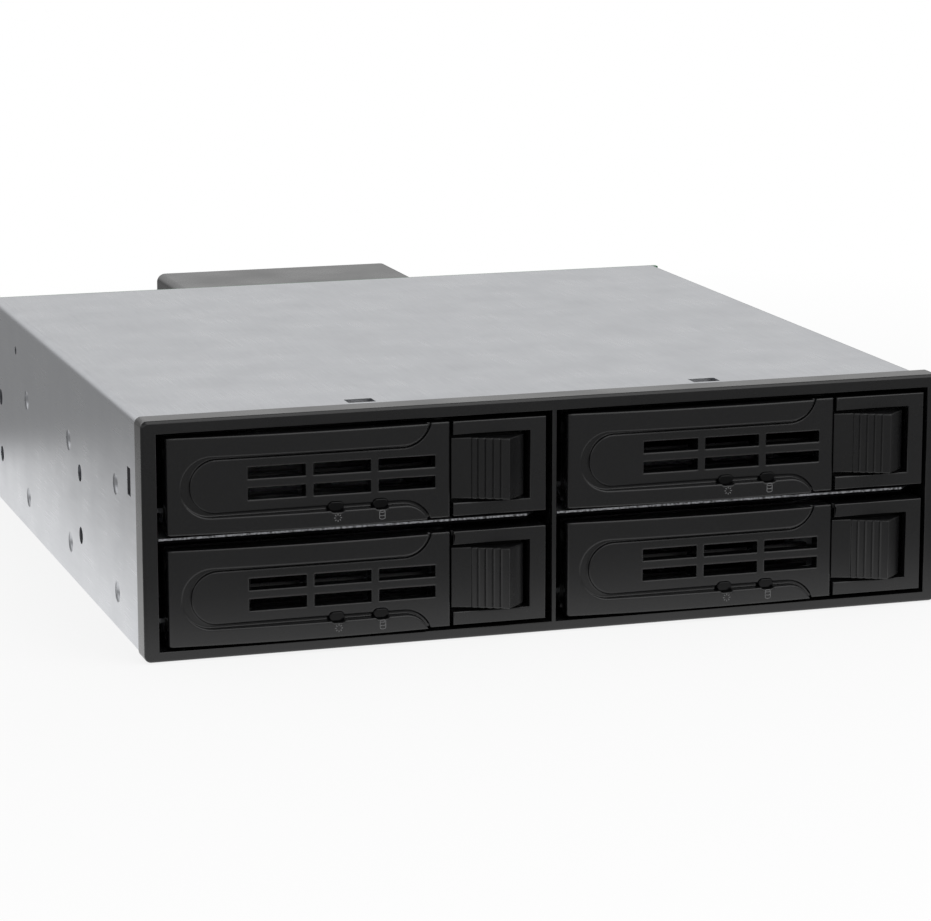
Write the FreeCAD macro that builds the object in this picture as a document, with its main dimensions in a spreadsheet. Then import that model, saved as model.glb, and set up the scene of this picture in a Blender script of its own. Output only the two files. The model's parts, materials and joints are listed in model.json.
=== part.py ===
"""Hot swap drive cage: four 2.5 inch drive trays in one 5.25 inch bay, with a backplane and a fan.

The cage is a sheet metal shell behind a moulded bezel. Two columns of two trays slide in from the front. Each
tray is a flat steel sled with a moulded front, a handle hinged at its left end and a latch that slides to the
right. The row's frame has its origin at the middle of the footprint, +X right, +Y to the back and +Z up.
"""
import FreeCAD, Part
import math
import os
import re
import Sketcher

Vector = FreeCAD.Vector
Rotation = FreeCAD.Rotation

# Driving dimensions in millimetres: each is written once, here, and held by one cell of the sheet.
SIZES = {
    # sheet metal shell
    "shell_width": 146.0, "shell_height": 41.5, "shell_length": 137.4, "shell_sheet": 0.8,
    "shell_bend": 1.8,
    # moulded bezel: how far it stands past the shell, its rounds, the skirt inside the shell and its snaps
    "bezel_overhang": 1.0, "bezel_rise": 0.7, "bezel_depth": 5.0, "rim_bottom": 1.8, "bezel_corner": 1.2,
    "bezel_round": 0.6, "post_width": 0.8, "skirt_inset": 0.8, "skirt_gap": 0.1, "skirt_low": 0.9,
    "skirt_length": 12.0, "snap_span": 64.6, "snap_wide": 5.0, "snap_long": 3.2, "snap_back": 7.5,
    "snap_play": 0.2, "catch_rise": 7.1, "catch_back": 3.5, "catch_long": 2.5, "key_left": 3.0,
    "key_right": 4.8, "key_long": 2.0,
    # bay screw holes in the sides, and the small hole for the press tool's locating pin
    "bay_hole": 3.2, "bay_setback": 52.3, "bay_pitch": 79.25, "bay_low": 10.0, "bay_high": 21.84,
    "pilot_hole": 1.6, "pilot_back": 61.5, "pilot_drop": 7.0,
    # guide dimples pressed into the sides
    "dimple_radius": 2.0, "dimple_first": 26.0, "dimple_pitch": 41.2, "dimple_rise": 4.1,
    # clearances that set the tray rows and columns
    "tray_lift": 0.7, "row_gap": 2.7, "top_gap": 0.9, "sled_gap": 0.35, "centre_gap": 0.75,
    "front_short": 1.7, "front_inset": 1.3,
    # shelves, runner beads and the wall between the columns
    "shelf_sheet": 0.8, "shelf_short": 11.9, "shelf_flange": 4.0, "runner_drop": 0.2, "runner_gap": 0.25,
    "lip_front": 0.3, "lip_short": 2.6, "lip_slant": 2.0, "edge_gap": 0.2, "bead_wide": 3.6,
    "bead_side": 0.4, "bead_front": 1.0, "bead_rear": 6.0, "floor_edge_gap": 0.6, "wall_short": 6.4,
    "wall_flange": 6.0, "flange_front": 3.0, "flange_rear": 2.5,
    # backplane board, its air window and its screws
    "board_sheet": 1.6, "board_edge": 0.2, "board_side": 0.1, "window_wide": 25.0, "window_step": 1.6,
    "window_round": 2.0, "tab_wide": 7.0, "tab_high": 6.0, "screw_size": 3.0, "screw_drop": 4.0,
    "screw_top": 4.3, "screw_bite": 2.6, "pan_head": 5.4, "pan_high": 2.0,
    # docking sockets for the drives
    "socket_wide": 43.0, "socket_high": 5.6, "socket_deep": 8.9, "socket_offset": 8.6, "socket_rise": 0.7,
    "plug_slot": 1.4, "plug_deep": 5.5, "power_reach": 15.5, "power_long": 21.0, "data_reach": 7.0,
    "data_long": 10.2,
    # data ports, power inlets, fan header and capacitors on the rear, and lamps on the front
    "port_high": 14.6, "port_wide": 5.2, "port_deep": 8.3, "port_wall": 0.9, "port_step": 12.5,
    "port_rise": 4.25, "port_tongue": 10.2, "inlet_wide": 24.4, "inlet_high": 6.4, "inlet_deep": 8.5,
    "inlet_wall": 1.0, "inlet_rise": 8.0, "inlet_reach": 5.0, "inlet_tongue": 20.6, "cup_floor": 1.6,
    "tongue_thick": 1.2, "tongue_short": 0.9, "header_wide": 7.6, "header_high": 5.0, "header_deep": 3.2,
    "header_rise": 11.0, "header_gap": 1.2, "header_key": 4.0, "key_reach": 8.0, "pin_square": 0.64,
    "pin_pitch": 2.54, "pin_reach": 9.0, "can_size": 6.3, "can_high": 7.2, "can_foot": 0.8,
    "can_drop": 7.5, "can_gap": 0.5, "led_size": 1.5, "led_deep": 1.4,
    # moulded box behind the board, with its grille
    "housing_centre": -7.1, "housing_side": 13.8, "housing_drop": 0.5, "housing_foot": 0.1,
    "housing_deep": 23.5, "housing_wall": 1.4, "housing_corner": 1.8, "housing_edge": 0.8,
    "boss_size": 5.6, "boss_spread": 0.3, "outer_ring": 6.3, "inner_ring": 1.2, "ring_wide": 1.4,
    "spoke_wide": 1.6, "sink_deep": 1.2, "long_head": 5.4, "short_head": 5.0,
    # fan: frame, stator and rotor
    "fan_play": 0.1, "fan_depth": 20.0, "fan_rim": 1.2, "fan_hole_inset": 3.0, "fan_flange": 3.0,
    "fan_corner": 2.5, "stator_thick": 2.4, "strut_wide": 1.8, "strut_deep": 2.0, "hub_size": 17.0,
    "hub_front": 1.5, "hub_short": 4.4, "hub_round": 1.2, "shaft_size": 2.0, "shaft_play": 0.05,
    "blade_gap": 0.6, "blade_count": 7.0, "blade_middle": 8.6, "root_chord": 11.0, "tip_chord": 14.0,
    "root_angle": 52.0, "tip_angle": 36.0, "root_thick": 1.4, "tip_thick": 0.8, "camber": 0.12,
    # 2.5 inch drive that a tray takes
    "drive_gap": 0.5, "drive_hole": 3.2, "drive_hole_span": 61.72, "drive_hole_pitch": 76.6,
    "drive_hole_rear": 14.0,
    # sled
    "sled_sheet": 0.8, "sled_rise": 2.2, "sled_start": 9.0, "sled_short": 11.4, "runner_back": 3.0,
    "ear_left": 4.0, "ear_wide": 7.0, "ear_high": 7.5, "ear_screw": 4.0, "ear_hole": 2.0,
    "air_side": 3.95, "air_front": 17.0, "air_wide": 3.5, "air_pitch": 7.0, "air_bridge": 2.5,
    "pipe_side": 1.5, "pipe_room": 2.0,
    # moulded tray front
    "strip": 2.4, "frame_thick": 2.5, "frame_wide": 17.1, "frame_side": 3.0, "frame_round": 0.25,
    "vent_start": 5.5, "vent_thick": 1.5, "front_deep": 9.0, "back_left": 0.6, "back_edge": 0.3,
    "back_wall": 1.7, "vent_shift": 1.7, "vent_rise": 1.7, "vent_drop": 0.2, "vent_end": 0.3,
    "gap_wide": 1.65, "gap_drop": 1.2, "post_wide": 5.0, "post_high": 7.0, "post_inset": 5.0,
    "pocket_play": 0.15, "pocket_right": 1.3,
    # handle: a bowed rim round a sunk middle with air slots
    "handle_gap": 0.7, "handle_thick": 2.5, "bow_radius": 290.0, "bow_end": 0.8, "end_round": 0.8,
    "flare_back": 8.4, "flare_round": 4.6, "island_low": 2.75, "island_drop": 3.45, "groove_wide": 0.7,
    "groove_deep": 0.6, "crescent": 1.7, "slot_high": 2.1, "slot_gap": 1.35, "slot_pitch": 3.65,
    "slot_left": 14.25, "slot_right": 2.55, "slot_rise": 0.175, "rib_thick": 1.0, "rib_rear": 4.6,
    "rib_inset": 0.6, "rib_left": 5.0, "rib_short": 3.2, "catch_wide": 1.6, "catch_tip": 4.4,
    "catch_high": 7.0,
    # hinge between handle and tray front
    "hinge_in": 2.4, "hinge_back": 2.8, "pin_size": 1.5, "pin_play": 0.08, "pin_end": 0.4,
    "lug_round": 1.5, "lug_high": 2.0, "lug_inset": 2.4, "running_gap": 0.3, "knuckle_end": 0.5,
    # lamps on each handle and the clear rods behind them
    "lamp_inset": 20.55, "lamp_pitch": 8.0, "lamp_height": 3.25, "lamp_wide": 2.8, "lamp_high": 1.7,
    "lens_proud": 0.25, "pipe_size": 1.5, "pipe_low": 0.4, "pipe_play": 0.1, "pipe_gap": 0.6,
    "pipe_bend": 2.0,
    # sliding latch
    "latch_long": 13.15, "latch_margin": 3.0, "latch_proud": 3.2, "latch_sunk": 0.8, "latch_flat": 3.4,
    "latch_crest": 9.4, "latch_travel": 0.9, "latch_play": 0.2, "latch_ribs": 5.0, "latch_rear": 3.0,
    "rib_step": 0.3, "rib_share": 0.72, "latch_flange": 1.1, "flange_play": 0.4, "flange_left": 0.4,
    "flange_right": 0.5, "flange_thick": 1.6,
    # leaf springs
    "spring_half": 3.0, "spring_bow": 1.1, "spring_thick": 0.25, "kick_left": 5.2, "kick_low": 0.5,
    "kick_high": 4.0, "kick_gap": 0.45,
}

# Positions and lengths that follow from the sizes above. A formula may use any name in either table.
FORMULAS = {
    # shell and bezel
    "half_shell": "shell_width / 2",
    "inner_side": "half_shell - shell_sheet",
    "inner_top": "shell_height - shell_sheet",
    "shell_rear": "bezel_depth + shell_length",
    "half_bezel": "half_shell + bezel_overhang",
    "bezel_height": "shell_height + bezel_rise",
    "opening_side": "inner_side - skirt_inset",
    "opening_top": "inner_top - skirt_inset",
    "skirt_wall": "skirt_inset - skirt_gap",
    "skirt_rear": "bezel_depth + skirt_length",
    "snap_front": "skirt_rear - snap_back",
    "catch_front": "skirt_rear - catch_back",
    "catch_height": "bay_high + catch_rise",
    "half_post": "post_width / 2",
    "bay_front": "bezel_depth + bay_setback",
    "dimple_ball": "(dimple_radius ^ 2 + skirt_inset ^ 2) / (2 * skirt_inset)",
    # rows and columns
    "lower_row": "rim_bottom + tray_lift",
    "tray_height": "(opening_top - top_gap - lower_row - row_gap) / 2",
    "upper_row": "lower_row + tray_height + row_gap",
    "sled_outer": "opening_side - sled_gap",
    "sled_width": "sled_outer - half_post - centre_gap",
    "left_column": "front_inset - sled_outer",
    "right_column": "sled_outer - sled_width + front_inset",
    "shelf_top": "upper_row - runner_drop - runner_gap",
    "shelf_under": "shelf_top - shelf_sheet",
    "shelf_rear": "shell_rear - shelf_short",
    "shelf_front": "skirt_rear + edge_gap",
    "bead_top": "lower_row - runner_drop - runner_gap",
    "wall_rear": "shell_rear - wall_short",
    # backplane
    "board_rear": "shell_rear + board_sheet",
    "board_top": "shell_height - board_edge",
    "tab_inner": "inner_side - tab_wide",
    "tab_middle": "inner_side - tab_wide / 2",
    "window_high": "fan_bore - window_step",
    "socket_face": "shell_rear - socket_deep",
    "port_outer": "tab_inner - port_wide / 2 - board_side",
    "port_inner": "port_outer - port_step",
    "port_height": "shell_height / 2 + port_rise",
    "inlet_middle": "tab_inner + inlet_reach - inlet_wide / 2",
    "inlet_height": "housing_base + inlet_rise",
    "can_middle": "port_inner - port_wide / 2 - can_gap - can_size / 2",
    "can_height": "shell_height - can_drop",
    "header_middle": "housing_centre + housing_wide / 2 + header_gap + header_wide / 2",
    "header_low": "fan_height + header_rise",
    # fan and its housing
    "housing_high": "shell_height - housing_drop - housing_foot",
    "housing_base": "housing_foot",
    "housing_wide": "fan_size + housing_side",
    "housing_rear": "board_rear + housing_deep",
    "fan_size": "housing_high - 2 * housing_wall - fan_play",
    "fan_bore": "fan_size - 2 * fan_rim",
    "fan_pitch": "fan_size - 2 * fan_hole_inset",
    "fan_rear": "housing_rear - housing_wall",
    "fan_front": "fan_rear - fan_depth",
    "fan_height": "housing_base + housing_high / 2",
    "boss_span": "(fan_size + housing_wide) / 2",
    "boss_rise": "fan_pitch + boss_spread",
    "spoke_long": "(fan_bore - hub_size) / 2 + housing_edge",
    "sink_front": "housing_rear - sink_deep",
    "front_face": "(latch_proud - housing_rear) / 2",
    # sled
    "sled_left": "-front_inset",
    "sled_middle": "sled_width / 2 - front_inset",
    "sled_stop": "shell_rear - sled_short",
    "plate_top": "sled_rise + sled_sheet",
    "drive_rear": "socket_face - drive_gap",
    "ear_right": "front_width - ear_left - ear_wide",
    "screw_height": "plate_top + ear_screw",
    "air_step": "(sled_width - 2 * air_side) / 4",
    # moulded tray front
    "front_width": "sled_width - front_short",
    "frame_left": "front_width - frame_wide",
    "frame_inner": "front_width - frame_side",
    "vent_rear": "vent_start + vent_thick",
    "pocket_end": "front_width - pocket_right",
    # handle
    "handle_long": "frame_left - handle_gap",
    "flare_start": "handle_long - flare_back",
    "rim_end": "flare_start + flare_round",
    "island_high": "tray_height - island_drop",
    "island_round": "(island_high - island_low) / 2",
    "island_middle": "(island_high + island_low) / 2",
    "slot_wide": "(handle_long - slot_right - slot_left - 2 * slot_gap) / 3",
    "slot_step": "slot_wide + slot_gap",
    "slot_low": "island_middle + slot_rise - (slot_pitch + slot_high) / 2",
    "lamp_left": "handle_long - lamp_inset",
    "upper_lug": "tray_height - lug_inset - lug_high",
    # latch
    "latch_left": "frame_inner - latch_travel - latch_play - latch_long",
    "latch_right": "latch_left + latch_long",
    "latch_top": "tray_height - latch_margin",
    "latch_ramp": "latch_left + latch_flat",
    "latch_run": "(latch_crest - latch_flat)",
    "latch_slope": "((latch_proud - rib_step) / latch_run)",
}

doc = FreeCAD.newDocument("hot_swap_drive_cage")
sheet = doc.addObject("Spreadsheet::Sheet", "Sizes")
for row, (alias, number) in enumerate(SIZES.items(), 1):
    sheet.set(f"A{row}", alias)
    sheet.set(f"B{row}", str(number))
    sheet.setAlias(f"B{row}", alias)
doc.recompute()

NODES = []
SIDES = {"left": -1, "right": 1}
CORNERS = [(side, rise) for side in (-1, 1) for rise in (-1, 1)]
# How far a cutting tool runs past the face that it opens.
PAST = 1.0


# ---------------------------------------------------------------- formulas and placing

def cells(text):
    """A formula with its names turned into references to the sheet's cells."""
    def reference(match):
        word = match.group(0)
        if word in FORMULAS:
            return "(" + cells(FORMULAS[word]) + ")"
        return "Sizes." + word if word in SIZES else word
    return re.sub(r"[a-z][a-z_]+", reference, str(text))


def size(text):
    """The number that a formula gives now."""
    return float(sheet.evalExpression(cells(text)))


def bind(item, prop, text):
    item.setExpression(prop, cells(text))


def place(item, at, rotation=None):
    """Binds an object's position to three formulas, after an optional turn."""
    if rotation is not None:
        item.Placement = FreeCAD.Placement(Vector(), rotation)
    for axis, text in zip("xyz", at):
        bind(item, "Placement.Base." + axis, text)
    return item


def node(label, item, at=("0", "front_face", "0")):
    """Names a finished sub-part and places it in the row's frame."""
    item.Label = label
    place(item, at)
    NODES.append(item)
    return item


# ---------------------------------------------------------------- primitives

ALONG = {"x": Rotation(Vector(0, 1, 0), 90), "y": Rotation(Vector(1, 0, 0), -90), "z": Rotation()}


def box(name, low, high):
    """A block between two corners, each given as three formulas."""
    item = doc.addObject("Part::Box", name)
    for prop, start, stop in zip(("Length", "Width", "Height"), low, high):
        bind(item, prop, f"({stop}) - ({start})")
    return place(item, low)


def centred(name, middle, spans, start, stop):
    """A block along y, given by its middle and spans in x and z and its two y levels."""
    low = [f"{at} - ({span}) / 2" for at, span in zip(middle, spans)]
    high = [f"{at} + ({span}) / 2" for at, span in zip(middle, spans)]
    return box(name, (low[0], start, low[1]), (high[0], stop, high[1]))


def rod(name, radius, at, length, along="z"):
    """A cylinder that starts at a point and runs along an axis."""
    item = doc.addObject("Part::Cylinder", name)
    bind(item, "Radius", radius)
    bind(item, "Height", length)
    return place(item, at, ALONG[along])


def bore(name, radius, at, start, stop):
    """A cylinder along y between two levels, a little longer at both ends so that it cuts clean."""
    return rod(name, radius, (at[0], f"{start} - {PAST}", at[1]), f"({stop}) - ({start}) + 2 * {PAST}", "y")


def cone(name, start_radius, stop_radius, at, length, along="z"):
    item = doc.addObject("Part::Cone", name)
    bind(item, "Radius1", start_radius)
    bind(item, "Radius2", stop_radius)
    bind(item, "Height", length)
    return place(item, at, ALONG[along])


def ball_cap(name, radius, depth, at, turn):
    """The cap of a ball, its flat side down before the turn."""
    item = doc.addObject("Part::Sphere", name)
    bind(item, "Radius", radius)
    bind(item, "Angle1", f"asin(1 - ({depth}) / ({radius}))")
    return place(item, at, turn)


def arm(name, angle, wide, deep, long, reach, level):
    """A flat arm that starts at a distance from the fan's axis and points away from it."""
    item = doc.addObject("Part::Box", name)
    bind(item, "Length", wide)
    bind(item, "Width", deep)
    bind(item, "Height", long)
    turn = Rotation(Vector(0, 1, 0), angle)
    start = turn.multVec(Vector(-size(wide) / 2, 0, size(reach)))
    return place(item, (f"housing_centre + {start.x}", level, f"fan_height + {start.z}"), turn)


def fuse(name, items):
    item = doc.addObject("Part::MultiFuse", name)
    item.Shapes = items
    item.Refine = True
    return item


def cut(name, base, tools):
    """The base less every tool."""
    item = doc.addObject("Part::Cut", name)
    item.Base = base
    item.Tool = group(name + "_tools", tools) if len(tools) > 1 else tools[0]
    item.Refine = True
    return item


def group(name, items):
    """Separate solids kept together, such as a set of screws."""
    item = doc.addObject("Part::Compound", name)
    item.Links = items
    return item


def rounded(name, base, radius, wanted):
    """Fillets the edges of a shape that the test picks by their middle point and direction."""
    doc.recompute()
    reach = size(radius)
    item = doc.addObject("Part::Fillet", name)
    item.Base = base
    item.Edges = [(number, reach, reach) for number, edge in enumerate(base.Shape.Edges, 1) if wanted(edge)]
    return item


def runs_along(edge, axis):
    """Whether an edge is straight and parallel to an axis."""
    if edge.Curve.TypeId != "Part::GeomLine":
        return False
    start, stop = edge.Vertexes[0].Point, edge.Vertexes[-1].Point
    step = stop - start
    return abs(getattr(step, axis)) > 0.999 * step.Length


def near(value, text, slack=0.02):
    return abs(value - size(text)) < slack


# ---------------------------------------------------------------- sketched bodies

def arc_between(start, stop, radius):
    """An arc from one point to the next. A negative radius turns clockwise."""
    chord = stop - start
    height = math.sqrt(max(radius ** 2 - (chord.Length / 2) ** 2, 0))
    side = Vector(-chord.y, chord.x, 0).normalize() * math.copysign(height, radius)
    middle = (start + stop) * 0.5 + side
    first, last = (start, stop) if radius > 0 else (stop, start)
    angles = [math.atan2(point.y - middle.y, point.x - middle.x) for point in (first, last)]
    return Part.ArcOfCircle(Part.Circle(middle, Vector(0, 0, 1), abs(radius)), angles[0], angles[1])


def sketch(body, name, plane, path, level="0"):
    """A closed outline on one of the body's planes.

    The path lists corners as two formulas each. A corner with a third formula starts an arc of that radius to
    the next corner, and the radius is negative where the arc turns clockwise.
    """
    item = body.newObject("Sketcher::SketchObject", name)
    item.AttachmentSupport = [([f for f in body.Origin.OriginFeatures if f.Role == plane][0], "")]
    item.MapMode = "FlatFace"
    bind(item, "AttachmentOffset.Base.z", level)
    corners = [Vector(size(corner[0]), size(corner[1]), 0) for corner in path]
    ends = []
    for index, corner in enumerate(path):
        start, stop = corners[index], corners[(index + 1) % len(path)]
        radius = size(corner[2]) if len(corner) == 3 else 0
        item.addGeometry(arc_between(start, stop, radius) if radius else Part.LineSegment(start, stop),
                         False)
        ends.append((2, 1) if radius < 0 else (1, 2))
    for index in range(len(path)):
        following = (index + 1) % len(path)
        meeting = Sketcher.Constraint("Coincident", index, ends[index][1], following, ends[following][0])
        item.addConstraint(meeting)
    for index, corner in enumerate(path):
        for kind, text, number in zip(("DistanceX", "DistanceY"), corner, corners[index][:2]):
            rule = item.addConstraint(Sketcher.Constraint(kind, -1, 1, index, ends[index][0], number))
            bind(item, f"Constraints[{rule}]", text)
        if len(corner) == 3:
            rule = item.addConstraint(Sketcher.Constraint("Radius", index, abs(size(corner[2]))))
            bind(item, f"Constraints[{rule}]", f"abs({corner[2]})")
    return item


PLANE_OF = {"x": "YZ_Plane", "y": "XZ_Plane", "z": "XY_Plane"}


def extrusion(body, name, along, path, start, stop, feature="PartDesign::Pad"):
    """Pads or pockets an outline between two levels along an axis.

    The XZ plane faces -Y, so y levels are reversed.
    """
    facing = -1 if along == "y" else 1
    level = f"-({start})" if along == "y" else start
    item = body.newObject(feature, name)
    item.Profile = sketch(body, name + "_outline", PLANE_OF[along], path, level)
    bind(item, "Length", f"({stop}) - ({start})")
    pad = feature == "PartDesign::Pad"
    item.Reversed = (facing < 0) if pad else (facing > 0)
    return item


def new_body(name):
    return doc.addObject("PartDesign::Body", name)


def padded(name, along, path, start, stop):
    """A body with one pad."""
    body = new_body(name)
    extrusion(body, name + "_pad", along, path, start, stop)
    return body


def rectangle(low, high):
    return [(low[0], low[1]), (high[0], low[1]), (high[0], high[1]), (low[0], high[1])]


# ---------------------------------------------------------------- shell

def guide_dimples(name, side):
    """Round dimples in one side wall that keep a sled off it: the bumps inside and the hollows outside."""
    turn = Rotation(Vector(0, 1, 0), -90 * side)
    bumps, hollows = [], []
    for rank in range(3):
        for level, row in enumerate(("lower_row", "upper_row")):
            title = f"{name}_dimple_{rank}{level}"
            along, height = f"dimple_first + {rank} * dimple_pitch", f"{row} + dimple_rise"
            for kind, depth, kept in (("bump", "0", bumps), ("hollow", "shell_sheet", hollows)):
                at = (f"{side} * (opening_side + dimple_ball + {depth})", along, height)
                kept.append(ball_cap(f"{title}_{kind}", "dimple_ball", "skirt_inset", at, turn))
    return bumps, hollows


def board_tabs(name, side):
    """Two tabs folded in from one side wall, and the holes for the screws that hold the backplane."""
    tabs, holes = [], []
    for number, height in enumerate(board_screw_heights()):
        at = (f"{side} * tab_middle", height)
        tabs.append(centred(f"{name}_tab_{number}", at, ("tab_wide", "tab_high"),
                            "shell_rear - shell_sheet", "shell_rear"))
        holes.append(bore(f"{name}_tab_hole_{number}", "screw_size / 2", at, "shell_rear - shell_sheet",
                          "shell_rear"))
    return tabs, holes


def side_cuts(name, side):
    """Holes and slots in one side wall and in the top near it."""
    start = f"{side} * half_shell - 2 * shell_sheet"
    cuts = []
    for number, along in enumerate(("bay_front", "bay_front + bay_pitch")):
        for level, height in enumerate(("bay_low", "bay_high")):
            cuts.append(rod(f"{name}_bay_hole_{number}{level}", "bay_hole / 2", (start, along, height),
                            "4 * shell_sheet", "x"))
    cuts.append(rod(f"{name}_pilot_hole", "pilot_hole / 2", (start, "bay_front + pilot_back",
                                                            "shell_height - pilot_drop"), "4 * shell_sheet",
                    "x"))
    cuts.append(box(f"{name}_catch_slot", (start, "catch_front", "catch_height - snap_wide / 2"),
                    (f"{start} + 4 * shell_sheet", "catch_front + catch_long",
                     "catch_height + snap_wide / 2")))
    middle = f"{side} * snap_span / 2"
    cuts.append(box(f"{name}_top_slot", (f"{middle} - snap_wide / 2", "snap_front", f"inner_top - {PAST}"),
                    (f"{middle} + snap_wide / 2", "snap_front + snap_long", f"shell_height + {PAST}")))
    return cuts


def top_cover():
    """Inverted U of sheet steel with bay holes, snap slots, dimples and the tabs that carry the backplane."""
    body = padded("cover_sheet", "y", [
        ("-half_shell", "0"), ("-inner_side", "0"), ("-inner_side", "inner_top"),
        ("inner_side", "inner_top"),
        ("inner_side", "0"), ("half_shell", "0"), ("half_shell", "shell_height"),
        ("-half_shell", "shell_height"),
    ], "bezel_depth", "shell_rear")
    shell = body
    for name, radius, side, top in (("outside", "shell_bend", "half_shell", "shell_height"),
                                    ("inside", "shell_bend - shell_sheet", "inner_side", "inner_top")):
        shell = rounded("cover_bend_" + name, shell, radius, lambda edge: runs_along(edge, "y")
                        and near(abs(edge.CenterOfMass.x), side) and near(edge.CenterOfMass.z, top))
    solids, cuts = [shell], []
    for name, side in SIDES.items():
        bumps, hollows = guide_dimples(name, side)
        tabs, holes = board_tabs(name, side)
        solids += bumps + tabs
        cuts += hollows + holes + side_cuts(name, side)
    cuts.append(box("key_notch", ("-snap_span / 2 - key_left", f"bezel_depth - {PAST}",
                                  f"inner_top - {PAST}"),
                    ("-snap_span / 2 + key_right", "bezel_depth + key_long", f"shell_height + {PAST}")))
    node("top_cover", cut("cover", fuse("cover_metal", solids), cuts))


def board_screw_heights():
    """Heights of the two backplane screws on each side: between the tray rows and near the top."""
    return ("shelf_under - screw_drop", "board_top - screw_top")


def bottom_plate():
    """Floor of sheet steel: edges turned up inside the cover's sides, and beads for the lower sleds."""
    floor = box("floor_sheet", ("-inner_side", "bezel_depth", "0"),
                ("inner_side", "shell_rear", "shell_sheet"))
    solids, grooves = [floor], []
    for name, side in SIDES.items():
        ends = sorted((f"{side} * inner_side", f"{side} * (inner_side - shell_sheet)"), key=size)
        solids.append(box(f"{name}_edge", (ends[0], "shelf_front", "shell_sheet"),
                          (ends[1], "shell_rear - shell_sheet",
                           "lower_row + dimple_rise - dimple_radius - floor_edge_gap")))
        middles = {"outer": "opening_side - bead_side - bead_wide / 2",
                   "inner": "centre_gap + bead_wide / 2"}
        for place_name, middle in middles.items():
            title, at = f"{name}_{place_name}_bead", f"{side} * ({middle})"
            solids.append(padded(title, "y", [
                (f"{at} - bead_wide / 2", "shell_sheet"), (f"{at} + bead_wide / 2", "shell_sheet"),
                (f"{at} + bead_wide / 3", "bead_top"), (f"{at} - bead_wide / 3", "bead_top"),
            ], "skirt_rear + bead_front", "shell_rear - bead_rear"))
            grooves.append(box(title + "_groove",
                               (f"{at} - bead_wide / 4", f"skirt_rear + bead_front + {PAST}",
                                                   f"-{PAST}"),
                               (f"{at} + bead_wide / 4", f"shell_rear - bead_rear - {PAST}",
                                "bead_top - shell_sheet")))
    node("bottom_plate", cut("floor", fuse("floor_metal", solids), grooves))


def bezel_snaps(name, side):
    """Two wedges on the skirt that snap into the cover: one into its top and one into its side."""
    middle, half_wide = f"{side} * snap_span / 2", "(snap_wide / 2 - snap_play)"
    top, skirt_side = "opening_top + skirt_wall", f"{side} * (opening_side + skirt_wall)"
    front = "snap_front + snap_play"
    wedge = padded(f"{name}_top_snap", "x", [
        (front, top), (f"{front} + snap_long - 2 * snap_play", top), (front, "shell_height - snap_play"),
    ], f"{middle} - {half_wide}", f"{middle} + {half_wide}")
    catch = padded(f"{name}_side_catch", "z", [
        (skirt_side, "catch_front + snap_play"), (f"{side} * (half_shell - snap_play / 2)",
                                                  "catch_front + snap_play"),
        (skirt_side, "catch_front + catch_long - snap_play"),
    ], f"catch_height - {half_wide}", f"catch_height + {half_wide}")
    return [wedge, catch]


def front_bezel():
    """Moulded frame around both columns, with a thin post between them and a skirt that snaps into place."""
    frame = padded("bezel_frame", "y", rectangle(("-half_bezel", "0"), ("half_bezel", "bezel_height")), "0",
                   "bezel_depth")
    frame = rounded("bezel_corners", frame, "bezel_corner", lambda edge: runs_along(edge, "y"))
    frame = rounded("bezel_face", frame, "bezel_round", lambda edge: near(edge.CenterOfMass.y, "0"))
    skirt = box("bezel_skirt", ("-opening_side - skirt_wall", "bezel_depth", "rim_bottom - skirt_low"),
                ("opening_side + skirt_wall", "skirt_rear", "opening_top + skirt_wall"))
    skirt = rounded("skirt_corners", skirt, "shell_bend", lambda edge: runs_along(edge, "y")
                    and edge.CenterOfMass.z > size("shell_height / 2"))
    openings = [box(name + "_opening", (low, f"-{PAST}", "rim_bottom"),
                    (high, f"skirt_rear + {PAST}", "opening_top"))
                for name, low, high in (("left", "-opening_side", "-half_post"),
                                        ("right", "half_post", "opening_side"))]
    solids = [cut("bezel_open", fuse("bezel_solid", [frame, skirt]), openings)]
    for name, side in SIDES.items():
        solids += bezel_snaps(name, side)
    solids.append(box("key_tab", ("-snap_span / 2 - key_left + snap_play", "bezel_depth",
                                  "opening_top + skirt_wall"),
                      ("-snap_span / 2 + key_right - snap_play", "bezel_depth + key_long - snap_play",
                       "shell_height - snap_play / 2")))
    node("front_bezel", fuse("bezel", solids))


def shelves():
    """The two sheet shelves that the upper sleds run on, flanged down along their sides."""
    columns = {"left_shelf": ("-inner_side", "-half_post", "-opening_side"),
               "right_shelf": ("half_post", "inner_side", "half_post")}
    for label, (low, high, opening) in columns.items():
        lip_left = f"{opening} + edge_gap"
        lip_right = f"{opening} + opening_side - half_post - lip_short"
        body = padded(label + "_sheet", "z", [
            (lip_left, "lip_front"), (f"{lip_right} - lip_slant", "lip_front"),
            (lip_right, "lip_front + lip_slant"), (lip_right, "shelf_front"), (high, "shelf_front"),
            (high, "shelf_rear"), (low, "shelf_rear"), (low, "shelf_front"), (lip_left, "shelf_front"),
        ], "shelf_under", "shelf_top")
        sides = ((low, f"{low} + shelf_sheet"), (f"{high} - shelf_sheet", high))
        flanges = [box(f"{label}_flange_{number}",
                       (start, "skirt_rear + flange_front", "shelf_under - shelf_flange"),
                       (stop, "shelf_rear - flange_rear", "shelf_under"))
                   for number, (start, stop) in enumerate(sides)]
        node(label, fuse(label + "_metal", [body] + flanges))


def centre_wall():
    """Upright sheet between the columns, with a flange under the cover."""
    wall = box("wall_sheet", ("-half_post", "skirt_rear", "shell_sheet"),
               ("half_post", "wall_rear", "inner_top"))
    flange = box("wall_top_flange", ("half_post", "skirt_rear + flange_front", "inner_top - post_width"),
                 ("half_post + wall_flange", "wall_rear - flange_rear", "inner_top"))
    node("centre_wall", fuse("wall", [wall, flange]))


# ---------------------------------------------------------------- backplane

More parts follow.
